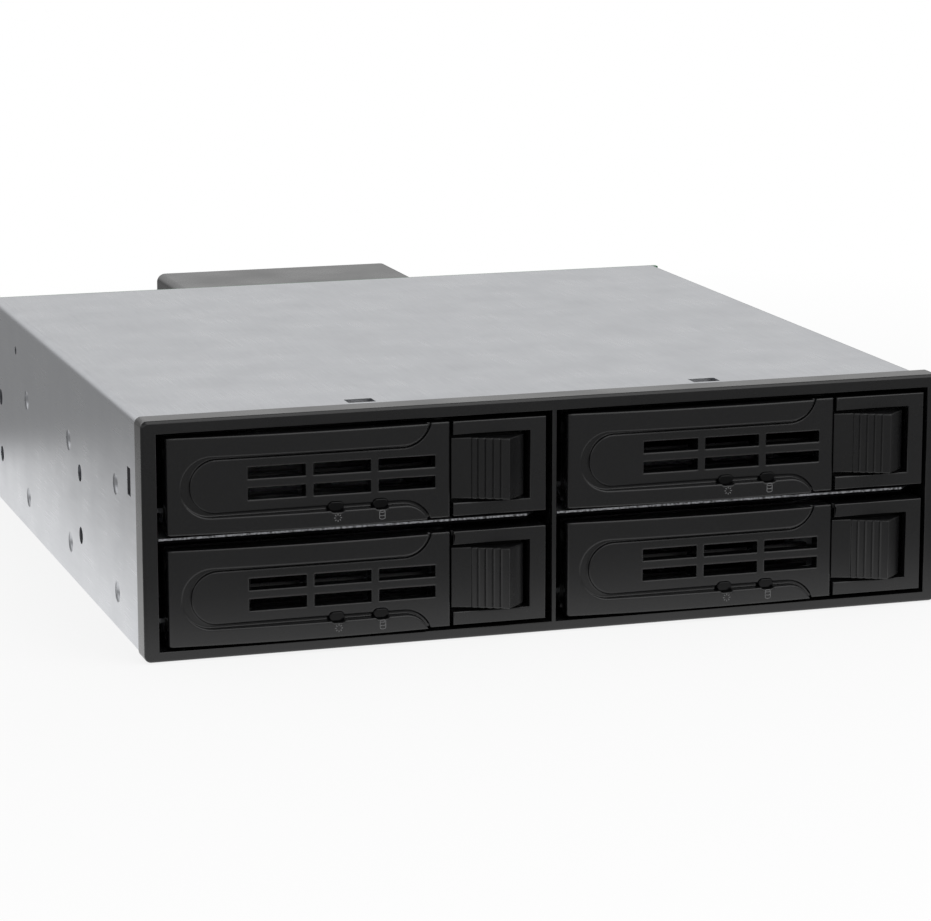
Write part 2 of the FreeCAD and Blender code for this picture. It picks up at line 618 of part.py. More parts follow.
def columns_and_rows():
    """Origins of the four trays: the lower left front corner of each moulded front."""
    return {1: ("left_column", "upper_row"), 2: ("right_column", "upper_row"),
            3: ("left_column", "lower_row"), 4: ("right_column", "lower_row")}


def boss_places():
    """Middles of the four bosses that carry the fan housing, outside the fan's corners."""
    return {f"{side + 1}{rise + 1}": (f"housing_centre + {side} * boss_span / 2",
                                      f"fan_height + {rise} * boss_rise / 2") for side, rise in CORNERS}


def fan_corner_places():
    """Middles of the fan's four corner holes."""
    return {f"{side + 1}{rise + 1}": (f"housing_centre + {side} * fan_pitch / 2",
                                      f"fan_height + {rise} * fan_pitch / 2") for side, rise in CORNERS}


def backplane_board():
    """Printed board that closes the shell's rear, with an air window in front of the fan."""
    board = box("board_sheet_solid", ("-half_shell + board_side", "shell_rear", "board_edge"),
                ("half_shell - board_side", "board_rear", "board_top"))
    window = centred("window_block", ("housing_centre", "fan_height"), ("window_wide", "window_high"),
                     f"shell_rear - {PAST}", f"board_rear + {PAST}")
    cuts = [rounded("board_window", window, "window_round", lambda edge: runs_along(edge, "y"))]
    for name, side in SIDES.items():
        for number, height in enumerate(board_screw_heights()):
            cuts.append(bore(f"{name}_board_hole_{number}", "screw_size / 2",
                             (f"{side} * tab_middle", height), "shell_rear", "board_rear"))
    for name, at in boss_places().items():
        cuts.append(bore("housing_hole_" + name, "screw_size / 2", at, "shell_rear", "board_rear"))
    node("backplane_board", cut("board", board, cuts))


def drive_sockets():
    """Four docking sockets: a body with the long power slot and the short data slot."""
    items = []
    for number, (column, row) in columns_and_rows().items():
        middle = f"{column} + sled_middle - socket_offset"
        slot = f"{row} + plate_top + socket_rise + socket_high / 2"
        body = centred(f"socket_body_{number}", (middle, slot), ("socket_wide", "socket_high"),
                       "socket_face", "shell_rear")
        cuts = []
        for kind, start, long in (("power", "-power_reach", "power_long"),
                                  ("data", "data_reach", "data_long")):
            at = (f"{middle} + {start} + {long} / 2", slot)
            cuts.append(centred(f"{kind}_slot_{number}", at, (long, "plug_slot"), f"socket_face - {PAST}",
                                "socket_face + plug_deep"))
        items.append(cut(f"socket_{number}", body, cuts))
    node("drive_sockets", group("sockets", items))


def plug_cup(name, at, spans, deep, wall, tongue):
    """A connector on the board's rear: an open cup with a contact tongue standing in it."""
    shell = centred(name + "_shell", at, spans, "board_rear", f"board_rear + {deep}")
    room = centred(name + "_room", at, [f"{span} - 2 * {wall}" for span in spans], "board_rear + cup_floor",
                   f"board_rear + {deep} + {PAST}")
    blade = centred(name + "_tongue", at, tongue, "board_rear + cup_floor",
                    f"board_rear + {deep} - tongue_short")
    return fuse(name, [cut(name + "_cup", shell, [room]), blade])


def rear_ports():
    """On the board's rear: a data port for each drive and two power inlets."""
    ports, inlets = [], []
    for name, side in SIDES.items():
        for number, middle in enumerate(("port_outer", "port_inner")):
            ports.append(plug_cup(f"{name}_port_{number}", (f"{side} * {middle}", "port_height"),
                                  ("port_wide", "port_high"), "port_deep", "port_wall",
                                  ("tongue_thick", "port_tongue")))
        inlets.append(plug_cup(name + "_inlet", (f"{side} * inlet_middle", "inlet_height"),
                               ("inlet_wide", "inlet_high"), "inlet_deep", "inlet_wall",
                               ("inlet_tongue", "tongue_thick")))
    node("data_ports", group("ports", ports))
    node("power_inlets", group("inlets", inlets))


def fan_header():
    """Three pin header beside the fan's housing, with the ridge that keys its plug."""
    base_top = "board_rear + header_deep"
    centre = "header_low + header_high / 2"
    solids = [centred("header_base", ("header_middle", centre), ("header_wide", "header_high"),
                      "board_rear", base_top)]
    for number in (-1, 0, 1):
        solids.append(centred(f"header_pin_{number + 1}", (f"header_middle + {number} * pin_pitch", centre),
                              ("pin_square", "pin_square"), base_top, "board_rear + pin_reach"))
    solids.append(box("header_ridge", ("header_middle - header_key / 2", base_top,
                                       "header_low + header_high - 1"),
                      ("header_middle + header_key / 2", "board_rear + key_reach",
                       "header_low + header_high")))
    node("fan_header", fuse("header", solids))


def board_parts():
    """Fan header, smoothing capacitors and the lamps behind the light pipes."""
    fan_header()
    cans = []
    for name, side in SIDES.items():
        at = (f"{side} * can_middle", "board_rear + can_foot", "can_height")
        foot = rod(name + "_can_foot", "can_size * 0.44", (at[0], "board_rear", at[2]), "can_foot", "y")
        body = rod(name + "_can_body", "can_size / 2", at, "can_high - can_foot", "y")
        cans.append(fuse(name + "_can", [body, foot]))
    node("capacitors", group("cans", cans))
    lamps = []
    for number, (column, row) in columns_and_rows().items():
        for which in range(2):
            at = (f"{column} + lamp_left + {which} * lamp_pitch", f"{row} + pipe_low + led_size / 2")
            lamps.append(centred(f"lamp_{number}{which}", at, ("led_size", "led_size"),
                                 "shell_rear - led_deep", "shell_rear"))
    node("status_leds", group("lamps", lamps))


def board_screws():
    """Pan head screws that hold the board to the shell's tabs."""
    screws = []
    for side_name, side in SIDES.items():
        for number, height in enumerate(board_screw_heights()):
            name, middle = f"{side_name}_board_screw_{number}", f"{side} * tab_middle"
            shank = rod(name + "_shank", "screw_size / 2", (middle, "shell_rear - screw_bite", height),
                        "board_sheet + screw_bite", "y")
            head = rod(name + "_head", "pan_head / 2", (middle, "board_rear", height), "pan_high", "y")
            screws.append(fuse(name, [shank, head]))
    node("board_screws", group("board_screw_set", screws))


# ---------------------------------------------------------------- fan

def grille():
    """Two rings and four spokes that guard the fan's bore."""
    solids = []
    axis = ("housing_centre", "fan_rear", "fan_height")
    for name, radius in (("outer", "(hub_size / 2 + outer_ring)"),
                         ("inner", "(hub_size / 2 + inner_ring)")):
        ring = rod(f"{name}_ring_disc", radius, axis, "housing_wall", "y")
        hole = bore(f"{name}_ring_hole", f"{radius} - ring_wide", ("housing_centre", "fan_height"),
                    "fan_rear", "housing_rear")
        solids.append(cut(name + "_ring", ring, [hole]))
    for number in range(4):
        solids.append(arm(f"grille_spoke_{number}", 45 + 90 * number, "spoke_wide", "housing_wall",
                          "spoke_long", "hub_size / 2 - edge_gap", "fan_rear"))
    return solids


def fan_housing():
    """Moulded box behind the board: open to the front, a grille of rings and spokes at the rear."""
    low_x, high_x = "housing_centre - housing_wide / 2", "housing_centre + housing_wide / 2"
    top = "housing_base + housing_high"
    outer = padded("housing_block", "y", rectangle((low_x, "housing_base"), (high_x, top)), "board_rear",
                   "housing_rear")
    outer = rounded("housing_corners", outer, "housing_corner", lambda edge: runs_along(edge, "y"))
    outer = rounded("housing_back_edge", outer, "housing_edge", lambda edge: near(edge.CenterOfMass.y,
                                                                                "housing_rear"))
    inside = box("housing_inside", (f"{low_x} + housing_wall", f"board_rear - {PAST}",
                                    "housing_base + housing_wall"),
                 (f"{high_x} - housing_wall", "fan_rear", f"{top} - housing_wall"))
    mouth = bore("grille_bore", "fan_bore / 2", ("housing_centre", "fan_height"), "fan_rear",
                 "housing_rear")
    solids = [cut("housing_cup", outer, [inside, mouth])] + grille()
    cuts = []
    for name, (across, height) in boss_places().items():
        solids.append(rod("boss_" + name, "boss_size / 2", (across, "board_rear", height),
                          "housing_deep - housing_wall", "y"))
    for kind, places, head in (("long", boss_places(), "long_head"),
                               ("short", fan_corner_places(), "short_head")):
        for name, (across, height) in places.items():
            cuts.append(bore(f"{kind}_way_{name}", "screw_size / 2", (across, height), "board_rear",
                             "housing_rear"))
            cuts.append(cone(f"{kind}_sink_{name}", "screw_size / 2", head + " / 2",
                             (across, "sink_front", height), "sink_deep", "y"))
    node("fan_housing", cut("housing", fuse("housing_solid", solids), cuts))


def countersunk_screw(name, at, tip, head):
    """Flat head screw along y whose head lies flush with the housing's rear face."""
    shank = rod(name + "_shank", "screw_size / 2", (at[0], tip, at[1]), f"sink_front - ({tip})", "y")
    cap = cone(name + "_head", "screw_size / 2", head + " / 2", (at[0], "sink_front", at[1]), "sink_deep",
               "y")
    return fuse(name, [shank, cap])


def fan_frame():
    """Square fan frame: a tube between two flanges, and a stator disc on three struts."""
    axis = ("housing_centre", "fan_height")
    solids = [rod("fan_tube", "fan_size / 2", ("housing_centre", "fan_front", "fan_height"), "fan_depth",
                  "y")]
    for name, start in (("front", "fan_front"), ("rear", "fan_rear - fan_flange")):
        flange = centred(f"fan_{name}_flange", axis, ("fan_size", "fan_size"), start,
                         f"{start} + fan_flange")
        solids.append(rounded(f"fan_{name}_plate", flange, "fan_corner",
                              lambda edge: runs_along(edge, "y")))
    hole = bore("fan_bore_cut", "fan_bore / 2", axis, "fan_front", "fan_rear")
    parts = [cut("fan_ring", fuse("fan_ring_solid", solids), [hole])]
    stator_front = "fan_rear - stator_thick"
    parts.append(rod("stator_disc", "hub_size / 2", ("housing_centre", stator_front, "fan_height"),
                     "stator_thick", "y"))
    for number in range(3):
        parts.append(arm(f"stator_strut_{number}", 30 + 120 * number, "strut_wide", "strut_deep",
                         "spoke_long + strut_deep / 4", "hub_size / 2 - housing_edge", stator_front))
    cuts = [bore("stator_bearing", "shaft_size / 2 + shaft_play", axis, stator_front, "fan_rear")]
    for name, at in fan_corner_places().items():
        cuts.append(bore("fan_hole_" + name, "screw_size / 2", at, "fan_front", "fan_rear"))
    node("fan_frame", cut("fan_body", fuse("fan_solid", parts), cuts))


def fan_fixings():
    """Four short screws that hold the fan in its housing, and four long ones that hold it to the board."""
    short = [countersunk_screw("fan_screw_" + name, at, "fan_rear - 2 * fan_flange", "short_head")
             for name, at in fan_corner_places().items()]
    long = [countersunk_screw("housing_screw_" + name, at, "shell_rear + board_edge", "long_head")
            for name, at in boss_places().items()]
    node("fan_screws", group("fan_screw_set", short))
    node("housing_screws", group("housing_screw_set", long))


def blade_section(radius, angle, chord, thickness):
    """A cambered blade section at a radius: two arcs that meet as a thin crescent, laid across the blade."""
    turn = Rotation(Vector(0, 0, 1), angle)
    rise = chord * size("camber")
    points = [Vector(-chord / 2, 0, 0), Vector(0, rise + thickness / 2, 0), Vector(chord / 2, 0, 0),
              Vector(0, rise - thickness / 2, 0)]
    points = [turn.multVec(point) + Vector(0, 0, radius) for point in points]
    upper = Part.Arc(points[0], points[1], points[2]).toShape()
    lower = Part.Arc(points[2], points[3], points[0]).toShape()
    return Part.Wire([upper, lower])


def blade_ring():
    """Twisted blades lofted from root to tip, steeper at the root, and trimmed to the rotor's reach."""
    root, tip = size("hub_size / 2 - blade_gap"), size("fan_bore / 2 - blade_gap")
    sections = []
    for share in (0, 0.5, 1):
        angle, chord, thickness = (size(f"root_{kind} + {share} * (tip_{kind} - root_{kind})")
                                   for kind in ("angle", "chord", "thick"))
        sections.append(blade_section(root + share * (tip - root), angle, chord, thickness))
    depth = size("fan_depth")
    reach = Part.makeCylinder(tip, depth, Vector(0, -depth / 2, 0), Vector(0, 1, 0))
    blade = Part.makeLoft(sections, True, False).common(reach)
    count = int(size("blade_count"))
    item = doc.addObject("Part::Feature", "blade_ring")
    item.Shape = Part.makeCompound([blade.rotated(Vector(), Vector(0, 1, 0), 360 / count * number)
                                    for number in range(count)])
    return place(item, ("housing_centre", "fan_front + blade_middle", "fan_height"))


def fan_rotor():
    """Hub cup and steel shaft with the ring of blades."""
    start = "fan_front + hub_front"
    hub = rod("hub_block", "hub_size / 2", ("housing_centre", start, "fan_height"), "fan_depth - hub_short",
              "y")
    hub = rounded("hub_cup", hub, "hub_round", lambda edge: near(edge.CenterOfMass.y, start)
                  and edge.Curve.TypeId == "Part::GeomCircle")
    shaft = rod("rotor_shaft", "shaft_size / 2",
                ("housing_centre", "fan_rear - hub_short + hub_front", "fan_height"), "stator_thick", "y")
    node("fan_rotor", fuse("rotor", [hub, blade_ring(), shaft]))


# ---------------------------------------------------------------- one tray

def sled(name):
    """Flat steel carrier: plate under the drive, turned-down runners, air slots and ears for the front."""
    left, right = "sled_left", "sled_left + sled_width"
    solids = [box(name + "_plate", (left, "sled_start", "sled_rise"), (right, "sled_stop", "plate_top"))]
    cuts = []
    for side, (start, stop) in enumerate(((left, f"{left} + sled_sheet"),
                                          (f"{right} - sled_sheet", right))):
        solids.append(box(f"{name}_runner_{side}", (start, "sled_start + runner_back", "-runner_drop"),
                          (stop, "sled_stop", "sled_rise")))
    for side, start in enumerate(("ear_left", "ear_right")):
        solids.append(box(f"{name}_ear_{side}", (start, "front_deep", "plate_top"),
                          (f"{start} + ear_wide", "front_deep + sled_sheet", "plate_top + ear_high")))
        cuts.append(bore(f"{name}_ear_hole_{side}", "ear_hole / 2",
                         (f"{start} + ear_wide / 2", "screw_height"),
                         "front_deep", "front_deep + sled_sheet"))
    for side in (-1, 1):
        for rank in range(2):
            along = f"drive_rear - drive_hole_rear - {rank} * drive_hole_pitch"
            cuts.append(rod(f"{name}_drive_hole_{side + 1}{rank}", "drive_hole / 2",
                            (f"sled_middle + {side} * drive_hole_span / 2", along, "0"),
                            f"plate_top + {PAST}"))
    cuts.append(box(name + "_pipe_notch", ("lamp_left - pipe_side", f"sled_start - {PAST}", "0"),
                    ("lamp_left + lamp_pitch + pipe_side", "sled_start + pipe_room",
                     f"plate_top + {PAST}")))
    for row in range(2):
        for number in range(4):
            start = f"sled_middle + ({number} - 2) * air_step + {PAST}"
            front = f"air_front + {row} * air_pitch"
            cuts.append(box(f"{name}_air_slot_{row}{number}", (start, front, "0"),
                            (f"{start} + air_step - air_bridge", f"{front} + air_wide",
                             f"plate_top + {PAST}")))
    return cut(name, fuse(name + "_metal", solids), cuts)


def hinge_lugs(name):
    """The two eyes at the left of the moulded front that the handle's pin runs through."""
    lugs = []
    for level, low in enumerate(("lug_inset", "upper_lug")):
        lugs.append(rod(f"{name}_lug_eye_{level}", "lug_round", ("hinge_in", "hinge_back", low),
                        "lug_high"))
        lugs.append(box(f"{name}_lug_arm_{level}", ("hinge_in - lug_round", "hinge_back", low),
                        ("hinge_in + lug_round", "vent_start", f"{low} + lug_high")))
    return lugs


def back_wall_cuts(name):
    """Openings in the wall behind the handle: a vent behind each slot, ways for light pipes and screws."""
    cuts = []
    for column in range(3):
        for row in range(2):
            low = f"slot_low + {row} * slot_pitch"
            right = f"slot_left + {column} * slot_step + slot_wide + vent_end"
            left = f"slot_left + {column} * slot_step + vent_shift"
            rear, high = f"front_deep + {PAST}", f"{low} + vent_rise"
            cuts.append(box(f"{name}_vent_{column}{row}",
                            (left, f"vent_start - {PAST}", f"{low} - vent_drop"), (right, rear, high)))
            cuts.append(box(f"{name}_gap_{column}{row}", (f"{right} - pipe_play", f"vent_start - {PAST}",
                                                          f"{low} - gap_drop"),
                            (f"{right} + gap_wide", rear, high)))
    half_pipe = "pipe_size / 2 + pipe_play"
    for which in range(2):
        middle = f"lamp_left + {which} * lamp_pitch"
        cuts.append(box(f"{name}_pipe_way_{which}",
                        (f"{middle} - ({half_pipe})", f"vent_start - {PAST}", f"-{PAST}"),
                        (f"{middle} + {half_pipe}", f"front_deep + {PAST}", f"lamp_height + {half_pipe}")))
    for side, start in enumerate(("ear_left", "ear_right")):
        cuts.append(bore(f"{name}_screw_hole_{side}", "ear_hole / 2",
                         (f"{start} + ear_wide / 2", "screw_height"), f"vent_rear + {PAST}", "front_deep"))
    return cuts


def tray_front(name):
    """Moulded front behind the handle: the C frame round the latch, the vented wall and two hinge lugs."""
    wall = padded(name + "_wall", "y", rectangle(("back_left", "back_edge"),
                                                 ("front_width", "tray_height - back_edge")), "vent_start",
                  "front_deep")
    frame = box(name + "_frame", ("frame_left", "0", "0"), ("front_width", "front_deep", "tray_height"))
    frame = rounded(name + "_frame_round", frame, "frame_round",
                    lambda edge: near(edge.CenterOfMass.y, "0"))
    past_left, past_rear = f"frame_left - {PAST}", f"front_deep + {PAST}"
    flange_room = "(latch_flange + pocket_play)"
    hollow = box(name + "_hollow", ("2", "vent_rear", "plate_top"),
                 ("front_width - frame_side / 2", past_rear, "tray_height - back_wall"))
    mouth = box(name + "_mouth", (past_left, f"-{PAST}", "strip"),
                ("frame_inner", f"frame_thick + {PAST}", "tray_height - strip"))
    pocket = box(name + "_pocket", (past_left, "frame_thick", f"latch_margin - {flange_room}"),
                 ("pocket_end", "vent_start + back_edge", f"latch_top + {flange_room}"))
    shell = cut(name + "_open", fuse(name + "_solid", [wall, frame]), [hollow, mouth, pocket])
    posts = [box(f"{name}_post_{side}", (start, "vent_rear", "plate_top"),
                 (f"{start} + post_wide", "front_deep", "plate_top + post_high"))
             for side, start in enumerate(("post_inset", "front_width - post_inset - post_wide"))]
    floor = box(name + "_floor", ("0", "sled_start - frame_round / 5", f"-{PAST}"),
                (f"front_width + {PAST}", past_rear, "plate_top"))
    pin_hole = rod(name + "_pin_hole", "pin_size / 2 + pin_play", ("hinge_in", "hinge_back", "0"),
                   "tray_height")
    whole = fuse(name + "_whole", [shell] + hinge_lugs(name) + posts)
    return cut(name, whole, [pin_hole, floor] + back_wall_cuts(name))


def island_path(inset, left):
    """Outline of the handle's sunk middle: round at the left, flaring past the full height at the right."""
    low, high = f"island_low + {inset}", f"island_high - {inset}"
    end, flare = f"rim_end + {inset}", f"-(flare_round + {inset})"
    round_size = f"island_round - {inset}"
    past, below, above = "handle_long + 2", "-tray_height / 2", "tray_height * 1.5"
    return [
        (f"{left} + {round_size}", low), ("flare_start", low, flare), (end, "island_low - flare_round"),
        (end, below), (past, below), (past, above), (end, above), (end, "island_high + flare_round", flare),
        ("flare_start", high), (f"{left} + {round_size}", high, round_size),
        (left, "island_middle", round_size),
    ]


def stadium(name, at, start, stop, wide, high):
    """An oval block along y with straight upper and lower sides."""
    reach = f"({wide} - {high}) / 2"
    ends = [rod(f"{name}_end_{side + 1}", f"{high} / 2", (f"{at[0]} + {side} * {reach}", start, at[1]),
                f"({stop}) - ({start})", "y") for side in (-1, 1)]
    between = centred(name + "_between", at, (f"{wide} - {high}", high), start, stop)
    return fuse(name, ends + [between])


def lamp_places():
    """Middles of the two lamps on a handle."""
    return [(f"lamp_left + {which} * lamp_pitch", "lamp_height") for which in range(2)]


def handle_cuts(name):
    """Air slots, lamp seats, room for the tray's hinge lugs and the way of the hinge pin."""
    cuts = [rod(name + "_pin_way", "pin_size / 2", ("hinge_in", "hinge_back", "0"), "tray_height")]
    for level, low in enumerate(("lug_inset", "upper_lug")):
        cuts.append(box(f"{name}_lug_room_{level}",
                        (f"-{PAST}", "hinge_back - lug_round - running_gap", f"{low} - running_gap"),
                        ("hinge_in + lug_round + running_gap", "front_deep",
                         f"{low} + lug_high + running_gap")))
    for column in range(3):
        for row in range(2):
            left, low = f"slot_left + {column} * slot_step", f"slot_low + {row} * slot_pitch"
            cuts.append(box(f"{name}_slot_{column}{row}", (left, "-latch_proud", low),
                            (f"{left} + slot_wide", f"handle_thick + {PAST}", f"{low} + slot_high")))
    for which, at in enumerate(lamp_places()):
        cuts.append(stadium(f"{name}_lamp_seat_{which}", at, "-latch_proud", f"handle_thick + {PAST}",
                            "lamp_wide", "lamp_high"))
    return cuts


def handle(name):
    """Hinged lever: a bowed C rim round a sunk middle with six air slots, two lamp seats and knuckles."""
    body = new_body(name + "_plate")
    extrusion(body, name + "_pad", "z", [
        ("0", "end_round", "end_round"), ("end_round", "0", "bow_radius"),
        ("rim_end + groove_wide", "-bow_end"),
        ("rim_end + groove_wide", "0"), ("handle_long", "0"), ("handle_long", "handle_thick"),
        ("0", "handle_thick"),
    ], "0", "tray_height")
    extrusion(body, name + "_ring", "y", island_path("0", "hinge_in"), "-latch_proud", "groove_deep",
              "PartDesign::Pocket")
    island = padded(name + "_island", "y", island_path("groove_wide", "(hinge_in + crescent)"), "0",
                    "groove_deep + bead_side")
    keep = box(name + "_keep", ("0", "-latch_proud", "0"), ("handle_long", "handle_thick", "tray_height"))
    trimmed = doc.addObject("Part::Common", name + "_island_trim")
    trimmed.Base, trimmed.Tool = island, keep
    knuckle = rod(name + "_knuckle", "lug_round", ("hinge_in", "hinge_back", "knuckle_end"),
                  "tray_height - 2 * knuckle_end")
    cheek = box(name + "_cheek", ("hinge_in - lug_round", "handle_thick - knuckle_end", "knuckle_end"),
                ("hinge_in + lug_round", "hinge_back", "tray_height - knuckle_end"))
    solids = [body, trimmed, knuckle, cheek]
    for side, low in enumerate(("rib_inset", "tray_height - rib_inset - rib_thick")):
        solids.append(box(f"{name}_rib_{side}", ("rib_left", "handle_thick - pipe_play", low),
                          ("frame_left - rib_short", "rib_rear", f"{low} + rib_thick")))
    catch_left, catch_root = "handle_long - catch_wide", "handle_thick - edge_gap"
    solids.append(padded(name + "_catch", "z", [
        (catch_left, catch_root), ("handle_long", catch_root), ("handle_long", "catch_tip - handle_gap"),
        ("handle_long - knuckle_end", "catch_tip"), (catch_left, "catch_tip"),
    ], "island_middle - catch_high / 2", "island_middle + catch_high / 2"))
    return cut(name, fuse(name + "_solid", solids), handle_cuts(name))


def latch(name):
    """Thumb latch: a wedge with upright ribs on its rising side and a flange that runs behind the frame."""
    path = [("latch_left", "latch_sunk"), ("latch_ramp", "0")]
    for number in range(int(size("latch_ribs"))):
        start = f"{number} * latch_run / latch_ribs"
        crest = f"({number} + rib_share) * latch_run / latch_ribs"
        path += [(f"latch_ramp + {start} + rib_step / 2", f"-latch_slope * ({start}) - rib_step"),
                 (f"latch_ramp + {crest}", f"-latch_slope * ({crest}) - rib_step"),
                 (f"latch_ramp + {crest} + rib_step / 3", f"-latch_slope * ({crest})")]
    path[-1] = ("latch_left + latch_crest", "-latch_proud")
    path += [("latch_right", "rib_step"), ("latch_right", "latch_rear"), ("latch_left", "latch_rear")]
    wedge = padded(name + "_wedge", "z", path, "latch_margin", "latch_top")
    flange_front = "frame_thick + flange_play"
    flange = box(name + "_flange", ("latch_left + flange_left", flange_front,
                                    "latch_margin - latch_flange"),
                 ("latch_right + flange_right", f"{flange_front} + flange_thick",
                  "latch_top + latch_flange"))
    return fuse(name, [wedge, flange])


def latch_spring(name):
    """Leaf between the latch's flange and the end of its pocket, bowed towards the latch."""
    front, rear = "(frame_thick + 2 * rib_step)", "(frame_thick + latch_proud - flange_right * 2.2)"
    middle = f"({front} + {rear}) / 2"
    path = [("pocket_end", front), ("pocket_end - spring_bow", f"{middle} - spring_thick / 2"),
            ("pocket_end - spring_bow", f"{middle} + spring_thick / 2"), ("pocket_end", rear),
            ("pocket_end", f"{rear} - spring_thick"), ("pocket_end - spring_bow + spring_thick", middle),
            ("pocket_end", f"{front} + spring_thick")]
    return padded(name, "z", path, "island_middle - spring_half", "island_middle + spring_half")


def kick_spring(name):
    """Leaf on the vented wall that pushes the handle open when the latch lets it go."""
    tip_left, tip_right = "kick_left + 2.1 * spring_half", "kick_left + 2.6 * spring_half"
    path = [("kick_left", "vent_start"), ("kick_left", "vent_start - spring_thick"),
            ("kick_left + spring_half", "vent_start - spring_thick"),
            (tip_left, "handle_thick + spring_thick"), (tip_right, "handle_thick + kick_gap"),
            (tip_right, "handle_thick + kick_gap + spring_thick"),
            (tip_left, "handle_thick + 2.2 * spring_thick"), ("kick_left + spring_half", "vent_start")]
    return padded(name, "z", path, "slot_low + kick_low", "slot_low + kick_low + kick_high")


def light_pipes(name):
    """Two clear rods that lead the board's lamps under the sled to the handle's lenses."""
    items = []
    front, rear = "handle_thick + pipe_gap", "shell_rear - led_deep - pipe_gap - edge_gap"
    bend, shift = "sled_start + edge_gap", "pipe_gap"
    lamp_under, lamp_over = "lamp_height - pipe_size / 2", "lamp_height + pipe_size / 2"
    path = [(front, lamp_under), (f"{bend} - pipe_bend", lamp_under), (bend, "pipe_low"),
            (rear, "pipe_low"),
            (rear, "pipe_low + pipe_size"), (f"{bend} + {shift}", "pipe_low + pipe_size"),
            (f"{bend} - pipe_bend + {shift}", lamp_over), (front, lamp_over)]
    for which, (middle, _) in enumerate(lamp_places()):
        items.append(padded(f"{name}_{which}", "x", path, f"{middle} - pipe_size / 2",
                            f"{middle} + pipe_size / 2"))
    return group(name, items)


def tray_screws(name):
    """Two pan head screws through the sled's ears into the moulded front."""
    items = []
    for side, start in enumerate(("ear_left", "ear_right")):
        middle, ear_rear = f"{start} + ear_wide / 2", "front_deep + sled_sheet"
        shank = rod(f"{name}_shank_{side}", "ear_hole / 2",
                    (middle, "vent_rear + back_edge", "screw_height"),
                    f"{ear_rear} - vent_rear - back_edge", "y")
        head = rod(f"{name}_head_{side}", "ear_hole - pipe_play", (middle, ear_rear, "screw_height"),
                   "pocket_right", "y")
        items.append(fuse(f"{name}_{side}", [shank, head]))
    return group(name, items)


def tray(number, column, row):
    """All the pieces of one tray, in the tray's own frame, placed at its column and row."""
    at = (column, "front_face", row)
    prefix = f"tray_{number}"
    pin = rod(prefix + "_pin", "pin_size / 2", ("hinge_in", "hinge_back", "pin_end"),
              "tray_height - 2 * pin_end")
    lenses = [stadium(f"{prefix}_lens_{which}", middle, "-lens_proud", "handle_thick", "lamp_wide",
                      "lamp_high")
              for which, middle in enumerate(lamp_places())]
    node(f"{prefix}_sled", sled(prefix + "_carrier"), at)
    node(f"{prefix}_front", tray_front(prefix + "_moulding"), at)
    node(f"{prefix}_handle", handle(prefix + "_lever"), at)
    node(f"{prefix}_hinge_pin", group(prefix + "_pins", [pin]), at)
    node(f"{prefix}_latch", latch(prefix + "_slider"), at)
    node(f"{prefix}_latch_spring", latch_spring(prefix + "_return_leaf"), at)
    node(f"{prefix}_kick_spring", kick_spring(prefix + "_opening_leaf"), at)
    node(f"{prefix}_light_pipes", light_pipes(prefix + "_pipe"), at)
    node(f"{prefix}_led_lenses", group(prefix + "_lenses", lenses), at)
    node(f"{prefix}_screws", tray_screws(prefix + "_ear_screw"), at)


def export_nodes():
    """Checks every object and shape, then writes one STEP file for each node."""
    doc.recompute()
    broken = [item.Name for item in doc.Objects if {"Invalid", "Error"} & set(item.State)]
    if broken:
        raise RuntimeError("failed objects: " + ", ".join(broken))
    os.makedirs("parts", exist_ok=True)
    for item in NODES:
        shape = item.Shape
        if shape.isNull() or not shape.isValid():
            raise RuntimeError("bad shape: " + item.Label)
        shape.exportStep(os.path.join("parts", item.Label + ".step"))


def main():
    top_cover()
    bottom_plate()
    front_bezel()
    shelves()
    centre_wall()
    backplane_board()
    drive_sockets()
    rear_ports()
    board_parts()
    board_screws()
    fan_housing()
    fan_frame()
    fan_fixings()
    fan_rotor()
    for number, (column, row) in columns_and_rows().items():
        tray(number, column, row)
    export_nodes()


main()
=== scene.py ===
"""Looks of the hot swap drive cage: finishes, moulded edges, contacts, icons, fasteners and the studio.

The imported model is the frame. Most visible mouldings are copies of their solids with the edge rounds that a
mould leaves, and the handles' edges are softened by their material. What repeats is made by Geometry Nodes,
and every finish is a procedural material with its pattern in millimetres.
"""

import json
import logging
import math
from collections.abc import Callable
from dataclasses import dataclass, field
from enum import Enum

import bmesh
import bpy
from mathutils import Matrix, Vector
from mathutils.bvhtree import BVHTree

